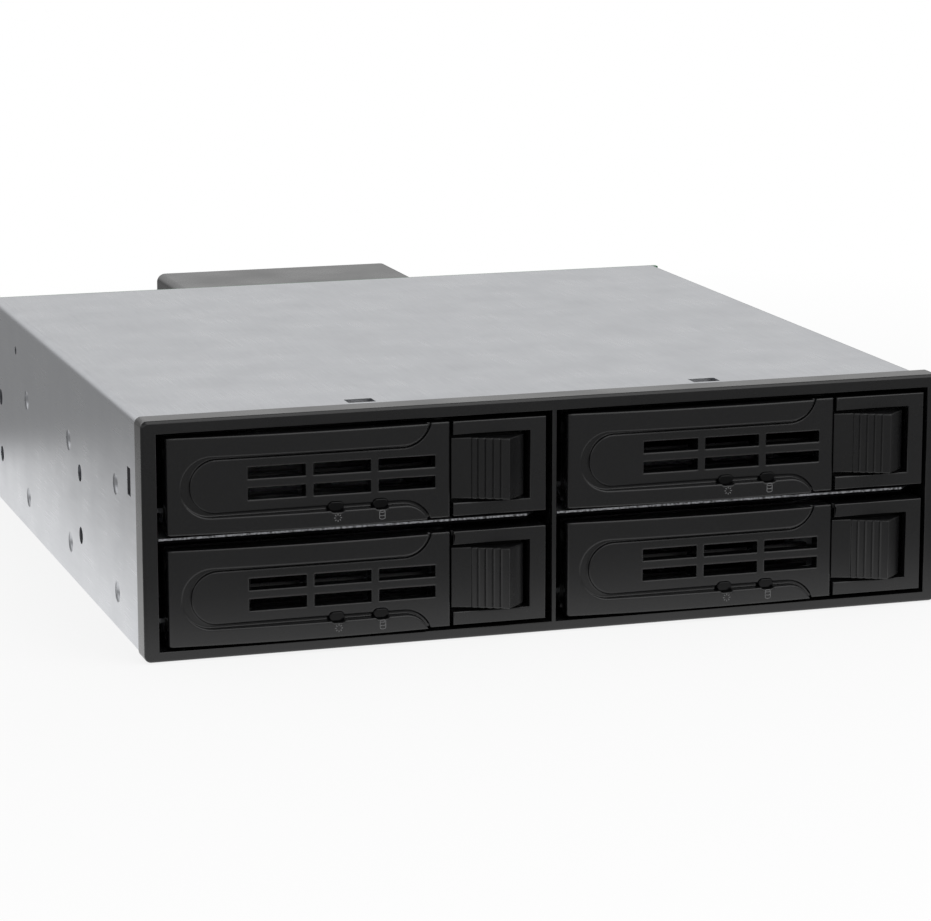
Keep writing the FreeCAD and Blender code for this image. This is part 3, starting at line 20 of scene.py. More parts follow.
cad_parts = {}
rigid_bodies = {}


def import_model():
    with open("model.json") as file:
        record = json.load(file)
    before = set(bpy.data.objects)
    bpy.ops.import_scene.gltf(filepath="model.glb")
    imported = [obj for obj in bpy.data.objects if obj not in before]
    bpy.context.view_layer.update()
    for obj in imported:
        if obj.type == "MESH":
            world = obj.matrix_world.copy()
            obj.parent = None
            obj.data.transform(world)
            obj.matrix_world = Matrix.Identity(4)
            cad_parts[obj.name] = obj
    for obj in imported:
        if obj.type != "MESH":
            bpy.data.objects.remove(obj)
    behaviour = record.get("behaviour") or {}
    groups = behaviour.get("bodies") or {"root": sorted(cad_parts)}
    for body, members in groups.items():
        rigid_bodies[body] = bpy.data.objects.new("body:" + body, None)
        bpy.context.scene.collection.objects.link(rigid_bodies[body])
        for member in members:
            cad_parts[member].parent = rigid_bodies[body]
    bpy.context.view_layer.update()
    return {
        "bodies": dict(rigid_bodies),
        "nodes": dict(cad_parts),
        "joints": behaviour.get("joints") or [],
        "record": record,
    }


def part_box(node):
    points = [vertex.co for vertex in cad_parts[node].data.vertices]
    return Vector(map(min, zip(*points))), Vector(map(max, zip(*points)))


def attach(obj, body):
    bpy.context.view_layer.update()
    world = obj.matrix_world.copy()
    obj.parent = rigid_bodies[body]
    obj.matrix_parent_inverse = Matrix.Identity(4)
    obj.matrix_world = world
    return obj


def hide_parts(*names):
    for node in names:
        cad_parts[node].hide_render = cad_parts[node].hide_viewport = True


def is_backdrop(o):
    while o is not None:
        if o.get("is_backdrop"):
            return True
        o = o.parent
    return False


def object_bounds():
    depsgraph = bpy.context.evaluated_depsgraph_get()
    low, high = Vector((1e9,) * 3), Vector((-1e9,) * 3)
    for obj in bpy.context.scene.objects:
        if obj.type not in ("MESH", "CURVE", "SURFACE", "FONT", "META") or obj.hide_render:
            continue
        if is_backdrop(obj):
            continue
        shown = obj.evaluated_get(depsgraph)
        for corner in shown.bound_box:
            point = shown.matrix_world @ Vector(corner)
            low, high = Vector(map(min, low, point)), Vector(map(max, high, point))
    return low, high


MM = 0.001
MERGE = 0.002 * MM
IN_FACE = 0.1 * MM
LEVEL = 0.01 * MM
QUARTER_TURN = math.pi / 2
TRAY_NUMBERS = (1, 2, 3, 4)

# Sockets of the Mix node, whose names are shared by its number and colour inputs.
FACTOR, NUMBER_A, NUMBER_B, COLOUR_A, COLOUR_B = 0, 2, 3, 6, 7
MIXED_NUMBER, MIXED_COLOUR = 0, 2

EdgeRule = Callable[[Vector, Vector, Vector], float]
Sockets = dict[str, bpy.types.NodeSocket]

log = logging.getLogger("drive_cage")


def linear(code: str) -> tuple[float, float, float, float]:
    """Turns an sRGB hex code into linear colour.

    Args:
        code: Six hex digits with a leading hash.

    Returns:
        Red, green, blue and a full alpha.
    """
    channels = [int(code[start:start + 2], 16) / 255 for start in (1, 3, 5)]
    red, green, blue = (value / 12.92 if value <= 0.04045 else ((value + 0.055) / 1.055) ** 2.4
                        for value in channels)
    return red, green, blue, 1.0


def scale(size_mm: float) -> float:
    """Returns the texture scale at which features are about this size."""
    return 1 / (size_mm * MM)


def add_node(tree: bpy.types.NodeTree, kind: str, settings: dict,
             links: dict | None = None) -> bpy.types.Node:
    """Adds one node to a tree.

    Args:
        tree: Shader or geometry tree.
        kind: The node's type name.
        settings: Input name or number, or property name, to value.
        links: Input name or number to the output socket that feeds it.

    Returns:
        The new node.
    """
    node = tree.nodes.new(kind)
    for key, value in settings.items():
        if isinstance(key, int) or key in node.inputs:
            node.inputs[key].default_value = value
        else:
            setattr(node, key, value)
    for key, socket in (links or {}).items():
        tree.links.new(socket, node.inputs[key])
    return node


# ---------------------------------------------------------------- finishes


@dataclass(frozen=True)
class Finish:
    """A plain surface: one colour and a gloss that varies a little from patch to patch."""

    name: str
    colour: str
    metallic: float = 0.0
    roughness: float = 0.5
    specular: float = 0.5
    transmission: float = 0.0
    patch_mm: float = 8.0
    shading: float = 0.86
    gloss_spread: float = 0.15

    def build(self) -> bpy.types.Material:
        """Makes the material.

        Returns:
            The material, with the finish's pattern in it.
        """
        material = bpy.data.materials.new(self.name)
        material.use_nodes = True
        tree = material.node_tree
        tree.nodes.clear()
        place = add_node(tree, "ShaderNodeTexCoord", {})
        shader = add_node(tree, "ShaderNodeBsdfPrincipled", {
            "Base Color": linear(self.colour), "Metallic": self.metallic, "Roughness": self.roughness,
            "Specular IOR Level": self.specular, "Transmission Weight": self.transmission},
            self.pattern(tree, place.outputs["Object"]))
        add_node(tree, "ShaderNodeOutputMaterial", {}, {"Surface": shader.outputs["BSDF"]})
        return material

    def gloss_range(self) -> dict[str, float]:
        """Returns the settings that spread a map over the finish's roughness."""
        return {"To Min": self.roughness * (1 - self.gloss_spread),
                "To Max": self.roughness * (1 + self.gloss_spread)}

    def pattern(self, tree: bpy.types.NodeTree, place: bpy.types.NodeSocket) -> Sockets:
        """Makes the surface's pattern: here, patches of slightly different gloss and shade.

        Args:
            tree: The material's tree.
            place: Object coordinates in metres.

        Returns:
            What feeds the shader, by input.
        """
        noise = add_node(tree, "ShaderNodeTexNoise", {"Scale": scale(self.patch_mm), "Detail": 3.0},
                         {"Vector": place})
        gloss = add_node(tree, "ShaderNodeMapRange", self.gloss_range(), {"Value": noise.outputs["Fac"]})
        red, green, blue, alpha = linear(self.colour)
        darker = (red * self.shading, green * self.shading, blue * self.shading, alpha)
        shade = add_node(tree, "ShaderNodeMix", {
            "data_type": "RGBA", COLOUR_A: linear(self.colour), COLOUR_B: darker},
            {FACTOR: noise.outputs["Fac"]})
        return {"Roughness": gloss.outputs["Result"], "Base Color": shade.outputs[MIXED_COLOUR]}


@dataclass(frozen=True)
class TexturedPlastic(Finish):
    """Moulded plastic from a spark-eroded mould: a fine even grain that dulls the gloss."""

    grain_mm: float = 0.35
    depth_mm: float = 0.012
    relief: float = 0.6
    flow_mm: float = 14.0
    tint: str = "#141415"
    round_mm: float = 0.0
    round_samples: int = 8
    gloss_spread: float = 0.12

    def pattern(self, tree: bpy.types.NodeTree, place: bpy.types.NodeSocket) -> Sockets:
        """Makes the grain's bump, flow marks in the gloss, a change of shade and, if asked, soft edges.

        Args:
            tree: The material's tree.
            place: Object coordinates in metres.

        Returns:
            What feeds the shader, by input.
        """
        grain = add_node(tree, "ShaderNodeTexNoise", {
            "Scale": scale(self.grain_mm), "Detail": 2.0, "Roughness": 0.6}, {"Vector": place})
        under = {}
        if self.round_mm > 0:
            soft = add_node(tree, "ShaderNodeBevel", {
                "samples": self.round_samples, "Radius": self.round_mm * MM})
            under = {"Normal": soft.outputs["Normal"]}
        bump = add_node(tree, "ShaderNodeBump", {"Strength": self.relief, "Distance": self.depth_mm * MM},
                        {"Height": grain.outputs["Fac"], **under})
        flow = add_node(tree, "ShaderNodeTexNoise", {"Scale": scale(self.flow_mm), "Detail": 4.0},
                        {"Vector": place})
        gloss = add_node(tree, "ShaderNodeMapRange", {"From Min": 0.3, "From Max": 0.7, **self.gloss_range()},
                         {"Value": flow.outputs["Fac"]})
        speck = add_node(tree, "ShaderNodeMapRange", {"From Min": 0.35, "From Max": 0.75},
                         {"Value": grain.outputs["Fac"]})
        shade = add_node(tree, "ShaderNodeMix", {
            "data_type": "RGBA", COLOUR_A: linear(self.colour), COLOUR_B: linear(self.tint)},
            {FACTOR: speck.outputs["Result"]})
        return {"Normal": bump.outputs["Normal"], "Roughness": gloss.outputs["Result"],
                "Base Color": shade.outputs[MIXED_COLOUR]}


@dataclass(frozen=True)
class RolledSheet(Finish):
    """Zinc coated cold rolled sheet: satin, with faint rolling lines and cloudy patches of coating."""

    tint: str = "#BCBEC2"
    line_mm: float = 0.25
    line_deep_mm: float = 0.003
    line_relief: float = 0.2
    cloud_mm: float = 11.0
    rolled_along: tuple[float, float, float] = (1.0, 0.02, 1.0)

    def pattern(self, tree: bpy.types.NodeTree, place: bpy.types.NodeSocket) -> Sockets:
        """Makes rolling lines in the bump and gloss, and clouds in the colour and gloss.

        Args:
            tree: The material's tree.
            place: Object coordinates in metres.

        Returns:
            What feeds the shader, by input.
        """
        stretched = add_node(tree, "ShaderNodeMapping", {"Scale": self.rolled_along}, {"Vector": place})
        lines = add_node(tree, "ShaderNodeTexNoise", {"Scale": scale(self.line_mm), "Detail": 2.0},
                         {"Vector": stretched.outputs["Vector"]})
        clouds = add_node(tree, "ShaderNodeTexNoise", {
            "Scale": scale(self.cloud_mm), "Detail": 5.0, "Roughness": 0.55}, {"Vector": place})
        bump = add_node(tree, "ShaderNodeBump", {
            "Strength": self.line_relief, "Distance": self.line_deep_mm * MM},
            {"Height": lines.outputs["Fac"]})
        shade = add_node(tree, "ShaderNodeMix", {
            "data_type": "RGBA", COLOUR_A: linear(self.colour), COLOUR_B: linear(self.tint)},
            {FACTOR: clouds.outputs["Fac"]})
        both = add_node(tree, "ShaderNodeMath", {"operation": "ADD"},
                        {0: clouds.outputs["Fac"], 1: lines.outputs["Fac"]})
        gloss = add_node(tree, "ShaderNodeMapRange", {"From Min": 0.6, "From Max": 1.4, **self.gloss_range()},
                         {"Value": both.outputs["Value"]})
        return {"Normal": bump.outputs["Normal"], "Roughness": gloss.outputs["Result"],
                "Base Color": self.coloured(tree, shade.outputs[MIXED_COLOUR], place)}

    def coloured(self, tree: bpy.types.NodeTree, colour: bpy.types.NodeSocket,
                 place: bpy.types.NodeSocket) -> bpy.types.NodeSocket:
        """Returns the sheet's final colour: here, as it comes from the mill."""
        return colour


@dataclass(frozen=True)
class ShearedSheetWithShade(RolledSheet):
    """Sheet whose front edge shows a bright flecked lip above and, below it, a near-black band of painted
    shade.
    """

    level: float = 0.0
    front_facing: float = -0.7
    lip_mm: float = 0.34
    tear_mm: float = 0.22
    # Painted shade: near black put on the edge's front face below the lip, where shade falls.
    break_shade_colour: str = "#0C0C0D"
    fleck_mm: float = 0.5
    fleck_colour: str = "#565657"

    def coloured(self, tree: bpy.types.NodeTree, colour: bpy.types.NodeSocket,
                 place: bpy.types.NodeSocket) -> bpy.types.NodeSocket:
        """Paints shade on the front edge, near black below a ragged line near its top, and flecks the lip
        above it.

        Args:
            tree: The material's tree.
            colour: The sheet's colour from the mill.
            place: Object coordinates in metres.

        Returns:
            The colour with the sheared edge in it.
        """
        split = add_node(tree, "ShaderNodeSeparateXYZ", {}, {"Vector": place})
        ragged = add_node(tree, "ShaderNodeTexNoise", {"Scale": scale(self.tear_mm * 3), "Detail": 3.0},
                          {"Vector": place})
        wander = add_node(tree, "ShaderNodeMath", {"operation": "MULTIPLY", 1: self.tear_mm * MM},
                          {0: ragged.outputs["Fac"]})
        height = add_node(tree, "ShaderNodeMath", {"operation": "SUBTRACT"},
                          {0: split.outputs["Z"], 1: wander.outputs["Value"]})
        line = self.level - (self.lip_mm + self.tear_mm / 2) * MM
        below = add_node(tree, "ShaderNodeMath", {"operation": "LESS_THAN", 1: line},
                         {0: height.outputs["Value"]})
        facing = add_node(tree, "ShaderNodeNewGeometry", {})
        turned = add_node(tree, "ShaderNodeSeparateXYZ", {}, {"Vector": facing.outputs["True Normal"]})
        front = add_node(tree, "ShaderNodeMath", {"operation": "LESS_THAN", 1: self.front_facing},
                         {0: turned.outputs["Y"]})
        # Painted shade: front faces below the ragged line take the break shade colour.
        break_shade_mask = add_node(tree, "ShaderNodeMath", {"operation": "MULTIPLY"},
                        {0: below.outputs["Value"], 1: front.outputs["Value"]})
        grain = add_node(tree, "ShaderNodeTexNoise", {"Scale": scale(self.fleck_mm), "Detail": 1.0},
                         {"Vector": place})
        fleck = add_node(tree, "ShaderNodeMapRange", {"From Min": 0.38, "From Max": 0.72},
                         {"Value": grain.outputs["Fac"]})
        dull = add_node(tree, "ShaderNodeMath", {"operation": "MULTIPLY"},
                        {0: fleck.outputs["Result"], 1: front.outputs["Value"]})
        lip = add_node(tree, "ShaderNodeMix", {"data_type": "RGBA", COLOUR_B: linear(self.fleck_colour)},
                       {FACTOR: dull.outputs["Value"], COLOUR_A: colour})
        mixed = add_node(tree, "ShaderNodeMix", {"data_type": "RGBA", COLOUR_B: linear(self.break_shade_colour)},
                         {FACTOR: break_shade_mask.outputs["Value"], COLOUR_A: lip.outputs[MIXED_COLOUR]})
        return mixed.outputs[MIXED_COLOUR]


@dataclass(frozen=True)
class SolderResist(Finish):
    """Green resist over copper: areas of copper show through it, paler and slightly raised."""

    copper_mm: float = 2.6
    copper_deep_mm: float = 0.02
    relief: float = 0.5
    copper_colour: str = "#1A6B3C"

    def pattern(self, tree: bpy.types.NodeTree, place: bpy.types.NodeSocket) -> Sockets:
        """Makes squarish areas of copper under the resist.

        Args:
            tree: The material's tree.
            place: Object coordinates in metres.

        Returns:
            What feeds the shader, by input.
        """
        cells = add_node(tree, "ShaderNodeTexVoronoi", {
            "distance": "CHEBYCHEV", "feature": "F1", "Scale": scale(self.copper_mm), "Randomness": 0.55},
            {"Vector": place})
        copper = add_node(tree, "ShaderNodeMapRange", {"From Min": 0.36, "From Max": 0.4},
                          {"Value": cells.outputs["Distance"]})
        shade = add_node(tree, "ShaderNodeMix", {
            "data_type": "RGBA", COLOUR_A: linear(self.colour), COLOUR_B: linear(self.copper_colour)},
            {FACTOR: copper.outputs["Result"]})
        bump = add_node(tree, "ShaderNodeBump", {
            "Strength": self.relief, "Distance": self.copper_deep_mm * MM},
            {"Height": copper.outputs["Result"]})
        return {"Base Color": shade.outputs[MIXED_COLOUR], "Normal": bump.outputs["Normal"]}


class Finishes(Enum):
    """Every finish on the cage, named for what it is."""

    # Zinc coated steel: a pale, slightly blue satin grey that mirrors the studio softly.
    ZINC_SHEET = RolledSheet("zinc_coated_sheet", "#BFC1C5", tint="#B8BABE", metallic=1.0, roughness=0.3)
    # The same sheet on the sleds, duller and darker from handling.
    SLED_SHEET = RolledSheet("zinc_coated_sled", "#B4B6BA", tint="#A4A6A9", metallic=1.0, roughness=0.4)
    # Spark textured ABS: near black and dull on its faces, with soft lines of light on its rounded edges.
    BLACK_ABS = TexturedPlastic("textured_black_abs", "#0D0D0E", roughness=0.28)
    # The same ABS on the handles: the edges of face, groove and vents look soft instead of cut.
    HANDLE_ABS = TexturedPlastic("soft_edged_black_abs", "#0D0D0E", roughness=0.24, round_mm=0.48)
    # ABS from a smoother tool on the latches: the ribs catch slightly sharper light.
    LATCH_ABS = TexturedPlastic("smooth_black_abs", "#0B0B0C", tint="#101011", roughness=0.27,
                                grain_mm=0.6, depth_mm=0.006, round_mm=0.24)
    # Smoked acrylic: black when unlit, darker and glossier than the plastic round it.
    SMOKED_LENS = Finish("smoked_acrylic_lens", "#040405", roughness=0.12, specular=0.2)
    # Clear acrylic, moulded: see-through with bright edges.
    CLEAR_ACRYLIC = Finish("clear_acrylic_pipe", "#E8ECEC", roughness=0.08, transmission=0.85)
    # Nickel plated steel, tumbled: a warm bright grey on the small hardware.
    PLATED_STEEL = Finish("nickel_plated_steel", "#C9C6BF", metallic=1.0, roughness=0.24, patch_mm=2.0)
    # Hardened and tempered strip: a darker, slightly blue grey.
    SPRING_STRIP = Finish("hardened_spring_strip", "#8A8A8E", metallic=1.0, roughness=0.3, patch_mm=3.0)
    # Glass filled PBT on the fan: flatter and a little paler than ABS, with a coarser skin.
    GLASS_PBT = TexturedPlastic("glass_filled_pbt", "#111112", tint="#1A1A1B", roughness=0.5, grain_mm=0.5,
                                depth_mm=0.015)
    # Connector nylon: even, semi-matt black.
    CONNECTOR_NYLON = TexturedPlastic("black_connector_nylon", "#101011", tint="#161617", roughness=0.45,
                                      grain_mm=0.4)
    # Solder resist over copper: dark glossy green, paler where there is copper under it.
    SOLDER_RESIST = SolderResist("green_solder_resist", "#0F4A2A", roughness=0.3)
    # Drawn aluminium: bright, nearly white metal with a soft sheen.
    DRAWN_CAN = Finish("drawn_aluminium_can", "#D5D6D8", metallic=1.0, roughness=0.28, patch_mm=3.0)
    # Cast epoxy of the lamps: a milky cream.
    DIODE_EPOXY = Finish("diode_epoxy", "#E4E2D2", roughness=0.25, patch_mm=1.0)
    # Thin gold over nickel on the contacts: warm and bright.
    CONTACT_GOLD = Finish("flash_gold_contact", "#E2B65A", metallic=1.0, roughness=0.22, patch_mm=2.0)
    # Tinned copper pads: pale grey points on the board.
    TINNED_COPPER = Finish("tinned_copper_pad", "#C7C5C0", metallic=1.0, roughness=0.3, patch_mm=2.0)
    # Pad printed ink: matt mid grey strokes that only just show on the black.
    GREY_INK = Finish("grey_pad_print_ink", "#6A6A6B", roughness=0.6, patch_mm=1.0)


@dataclass
class Paintbox:
    """Builds each finish once and hands its material out."""

    made: dict[str, bpy.types.Material] = field(default_factory=dict)

    def get(self, finish: Finishes) -> bpy.types.Material:
        """Returns the finish's material."""
        return self.mix(finish.value)

    def mix(self, finish: Finish) -> bpy.types.Material:
        """Returns the material of a finish that may be made for one piece.

        Args:
            finish: The finish.

        Returns:
            Its material, built at the first call.
        """
        if finish.name not in self.made:
            self.made[finish.name] = finish.build()
        return self.made[finish.name]

    def coat(self, item: bpy.types.Object, finish: Finishes) -> None:
        """Gives every slot of an object one finish."""
        self.apply(item, self.get(finish))

    def apply(self, item: bpy.types.Object, material: bpy.types.Material) -> None:
        """Puts a material in every slot of an object.

        Args:
            item: The object.
            material: The material.
        """
        if not item.material_slots:
            item.data.materials.append(material)
        for slot in item.material_slots:
            slot.material = material


# ---------------------------------------------------------------- meshes


def body_of_node(frame: dict, node: str) -> str:
    """Returns the body that a CAD node belongs to."""
    bodies = frame["record"]["behaviour"]["bodies"]
    return next(name for name, nodes in bodies.items() if node in nodes)


def low_corner(node: str) -> Vector:
    """Returns the lowest corner of a node's box."""
    return Vector(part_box(node)[0])


def high_corner(node: str) -> Vector:
    """Returns the highest corner of a node's box."""
    return Vector(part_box(node)[1])


def box_of(points: list[Vector]) -> tuple[Vector, Vector]:
    """Returns the lowest and highest corner of the box round some points."""
    return tuple(Vector([end(point[axis] for point in points) for axis in range(3)]) for end in (min, max))


def new_piece(name: str, mesh: bpy.types.Mesh) -> bpy.types.Object:
    """Puts a mesh in the scene as a piece at the origin.

    Args:
        name: The piece's name.
        mesh: Its mesh, with its place in it.

    Returns:
        The new piece.
    """
    piece = bpy.data.objects.new(name, mesh)
    bpy.context.scene.collection.objects.link(piece)
    return piece


def bake_modifiers(piece: bpy.types.Object) -> None:
    """Turns a piece's modifiers into a plain mesh.

    Args:
        piece: The piece, which keeps no modifier.
    """
    bpy.context.view_layer.update()
    evaluated = piece.evaluated_get(bpy.context.evaluated_depsgraph_get())
    mesh = bpy.data.meshes.new_from_object(evaluated)
    piece.modifiers.clear()
    piece.data = mesh


def merged_form(mesh: bpy.types.Mesh) -> bmesh.types.BMesh:
    """Opens a mesh for editing with its doubled points joined.

    Args:
        mesh: The mesh, which stays as it is.

    Returns:
        The editable form, which the caller frees.
    """
    form = bmesh.new()
    form.from_mesh(mesh)
    bmesh.ops.remove_doubles(form, verts=form.verts, dist=MERGE)
    return form


def merged_copy(frame: dict, node: str, name: str) -> bpy.types.Object:
    """Copies a node's solid with its triangles joined into faces.

    Args:
        frame: The loaded frame.
        node: The CAD node.
        name: The new piece's name.

    Returns:
        The copy, with no material.
    """
    mesh = frame["nodes"][node].data.copy()
    mesh.name = name
    form = merged_form(mesh)
    bmesh.ops.dissolve_limit(form, angle_limit=math.radians(0.8), verts=form.verts, edges=form.edges)
    form.to_mesh(mesh)
    form.free()
    mesh.materials.clear()
    return new_piece(name, mesh)


@dataclass
class EdgeRounder:
    """Rounds chosen edges of a piece and gives its faces clean shading."""

    widest_mm: float
    segments: int = 4
    corner_degrees: float = 30.0
    flat_face_weight: int = 80

    def run(self, piece: bpy.types.Object, rule: EdgeRule | None) -> None:
        """Rounds each sharp edge by its share of the widest round.

        Args:
            piece: The piece, a plain mesh.
            rule: Gives an edge's share, 0 to 1, from its two ends in metres and the way its wall faces.
                None rounds nothing.
        """
        if rule is not None:
            self.weigh(piece.data, rule)
            bevel = piece.modifiers.new("edge_round", "BEVEL")
            bevel.width = self.widest_mm * MM
            bevel.segments = self.segments
            bevel.limit_method = "WEIGHT"
            bevel.use_clamp_overlap = False
            bevel.miter_outer = "MITER_ARC"
        bake_modifiers(piece)
        piece.data.shade_smooth()
        piece.data.set_sharp_from_angle(angle=math.radians(self.corner_degrees))
        weighted = piece.modifiers.new("flat_faces_stay_flat", "WEIGHTED_NORMAL")
        weighted.keep_sharp = True
        weighted.weight = self.flat_face_weight
        bake_modifiers(piece)

    def weigh(self, mesh: bpy.types.Mesh, rule: EdgeRule) -> None:
        """Stores each sharp edge's share on the mesh.

        Args:
            mesh: The piece's mesh.
            rule: Gives an edge's share.
        """
        form = bmesh.new()
        form.from_mesh(mesh)
        shares = form.edges.layers.float.new("bevel_weight_edge")
        for edge in form.edges:
            sharp = len(edge.link_faces) == 2 and edge.calc_face_angle(0) > math.radians(self.corner_degrees)
            if sharp:
                wall = max((face.normal for face in edge.link_faces), key=lambda normal: normal.y)
                edge[shares] = rule(edge.verts[0].co, edge.verts[1].co, wall)
        form.to_mesh(mesh)
        form.free()


def front_rule(front: float, least: float = 0.5) -> EdgeRule:
    """Makes the rule for a moulding whose edges are round in its front face alone.

    Args:
        front: Where its front face is, in metres.
        least: Share of the round for edges whose wall doesn't face up.

    Returns:
        The rule, which gives edges whose wall faces up the whole round.
    """

    def share(a: Vector, b: Vector, wall: Vector) -> float:
        """Returns one edge's share of the round."""
        lit = least + (1 - least) * min(max((wall.z - 0.15) / 0.5, 0.0), 1.0)
        return lit if max(a.y, b.y) < front + IN_FACE else 0.0

    return share


def dress(frame: dict, paint: Paintbox, node: str, finish: Finishes, rounder: EdgeRounder,
          rule: EdgeRule | None = None) -> bpy.types.Object:
    """Replaces a node by a copy with rounded edges and a finish.

    Args:
        frame: The loaded frame.
        paint: The finishes.
        node: The CAD node that the piece stands for.
        finish: The piece's finish.
        rounder: How edges are rounded.
        rule: Share of the round for each edge.

    Returns:
        The finished piece.
    """
    piece = merged_copy(frame, node, node + "_dressed")
    rounder.run(piece, rule)
    paint.coat(piece, finish)
    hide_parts(node)
    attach(piece, body_of_node(frame, node))
    return piece


# ---------------------------------------------------------------- repeated pieces


@dataclass
class Repeater:
    """A Geometry Nodes tree that sets rows, rings or fields of small pieces on given points."""

    name: str
    inputs: dict[str, tuple[str, object]] = field(default_factory=dict)

    def start(self) -> tuple[bpy.types.NodeTree, bpy.types.Node]:
        """Makes the tree with its named inputs.

        Returns:
            The tree and its group input node.
        """
        tree = bpy.data.node_groups.new(self.name, "GeometryNodeTree")
        tree.interface.new_socket("Geometry", in_out="INPUT", socket_type="NodeSocketGeometry")
        for label, (kind, _) in self.inputs.items():
            tree.interface.new_socket(label, in_out="INPUT", socket_type=kind)
        tree.interface.new_socket("Geometry", in_out="OUTPUT", socket_type="NodeSocketGeometry")
        return tree, add_node(tree, "NodeGroupInput", {})

    def finish(self, tree: bpy.types.NodeTree, given: bpy.types.Node,
               instances: bpy.types.NodeSocket) -> None:
        """Ends a tree by making its instances real and giving them their material.

        Args:
            tree: The tree.
            given: Its group input node.
            instances: What the tree has set out.
        """
        real = add_node(tree, "GeometryNodeRealizeInstances", {}, {"Geometry": instances})
        coated = add_node(tree, "GeometryNodeSetMaterial", {}, {"Geometry": real.outputs["Geometry"],
                                                               "Material": given.outputs["Material"]})
        add_node(tree, "NodeGroupOutput", {}, {"Geometry": coated.outputs["Geometry"]})

    def grow(self, tree: bpy.types.NodeTree, name: str, base: bpy.types.Mesh) -> bpy.types.Object:
        """Runs the tree on a base mesh and returns the result as a plain mesh.

        Args:
            tree: The finished tree.
            name: The piece's name.
            base: The points or faces that the tree works on.

        Returns:
            The new piece.
        """
        piece = new_piece(name, base)
        modifier = piece.modifiers.new("repeat", "NODES")
        modifier.node_group = tree
        for item in tree.interface.items_tree:
            if item.in_out == "INPUT" and item.name in self.inputs:
                modifier[item.identifier] = self.inputs[item.name][1]
        bake_modifiers(piece)
        return piece


def points_mesh(name: str, points: list[Vector]) -> bpy.types.Mesh:
    """Makes a mesh of loose points.

    Args:
        name: The mesh's name.
        points: The points.

    Returns:
        The mesh.
    """
    mesh = bpy.data.meshes.new(name)
    mesh.from_pydata([tuple(point) for point in points], [], [])
    return mesh


def rows_of_blocks(name: str, starts: list[Vector], count: int, step: Vector, block: Vector,
                   material: bpy.types.Material) -> bpy.types.Object:
    """Sets a row of equal blocks at each starting point, such as a connector's contacts.

    Args:
        name: The piece's name.
        starts: Middle of each row's first block.
        count: Blocks in a row.
        step: From one block to the next.
        block: A block's size.
        material: Their material.

    Returns:
        The new piece.
    """
    repeater = Repeater(name + "_rows", {
        "Count": ("NodeSocketInt", count), "Step": ("NodeSocketVector", tuple(step)),
        "Block": ("NodeSocketVector", tuple(block)), "Material": ("NodeSocketMaterial", material)})
    tree, given = repeater.start()
    line = add_node(tree, "GeometryNodeMeshLine", {}, {"Count": given.outputs["Count"],
                                                       "Offset": given.outputs["Step"]})
    rows = add_node(tree, "GeometryNodeInstanceOnPoints", {}, {"Points": given.outputs["Geometry"],
                                                              "Instance": line.outputs["Mesh"]})
    places = add_node(tree, "GeometryNodeRealizeInstances", {}, {"Geometry": rows.outputs["Instances"]})
    cube = add_node(tree, "GeometryNodeMeshCube", {}, {"Size": given.outputs["Block"]})
    blocks = add_node(tree, "GeometryNodeInstanceOnPoints", {}, {"Points": places.outputs["Geometry"],
                                                                "Instance": cube.outputs["Mesh"]})
    repeater.finish(tree, given, blocks.outputs["Instances"])
    return repeater.grow(tree, name, points_mesh(name + "_starts", starts))


def rings_of_ticks(name: str, centres: list[Vector], count: int, radius: float, tick: Vector,
                   material: bpy.types.Material) -> bpy.types.Object:
    """Sets a ring of radial ticks round each centre, facing the front.

    Args:
        name: The piece's name.
        centres: Middle of each ring.
        count: Ticks in a ring.
        radius: The ring's radius.
        tick: A tick's width, thickness and length.
        material: Their material.

    Returns:
        The new piece.
    """
    repeater = Repeater(name + "_ring", {
        "Count": ("NodeSocketInt", count), "Radius": ("NodeSocketFloat", radius),
        "Tick": ("NodeSocketVector", tuple(tick)), "Material": ("NodeSocketMaterial", material)})
    tree, given = repeater.start()
    circle = add_node(tree, "GeometryNodeMeshCircle", {}, {"Vertices": given.outputs["Count"],
                                                           "Radius": given.outputs["Radius"]})
    upright = add_node(tree, "GeometryNodeTransform", {"Rotation": (QUARTER_TURN, 0, 0)},
                       {"Geometry": circle.outputs["Mesh"]})
    index = add_node(tree, "GeometryNodeInputIndex", {})
    share = add_node(tree, "ShaderNodeMath", {"operation": "DIVIDE"}, {0: index.outputs["Index"],
                                                                      1: given.outputs["Count"]})
    angle = add_node(tree, "ShaderNodeMath", {
        "operation": "MULTIPLY_ADD", 1: -4 * QUARTER_TURN, 2: QUARTER_TURN}, {0: share.outputs["Value"]})
    turn = add_node(tree, "ShaderNodeCombineXYZ", {}, {"Y": angle.outputs["Value"]})
    cube = add_node(tree, "GeometryNodeMeshCube", {}, {"Size": given.outputs["Tick"]})
    ring = add_node(tree, "GeometryNodeInstanceOnPoints", {}, {
        "Points": upright.outputs["Geometry"], "Instance": cube.outputs["Mesh"],
        "Rotation": turn.outputs["Vector"]})
    whole = add_node(tree, "GeometryNodeRealizeInstances", {}, {"Geometry": ring.outputs["Instances"]})
    rings = add_node(tree, "GeometryNodeInstanceOnPoints", {}, {"Points": given.outputs["Geometry"],
                                                               "Instance": whole.outputs["Geometry"]})
    repeater.finish(tree, given, rings.outputs["Instances"])
    return repeater.grow(tree, name, points_mesh(name + "_centres", centres))


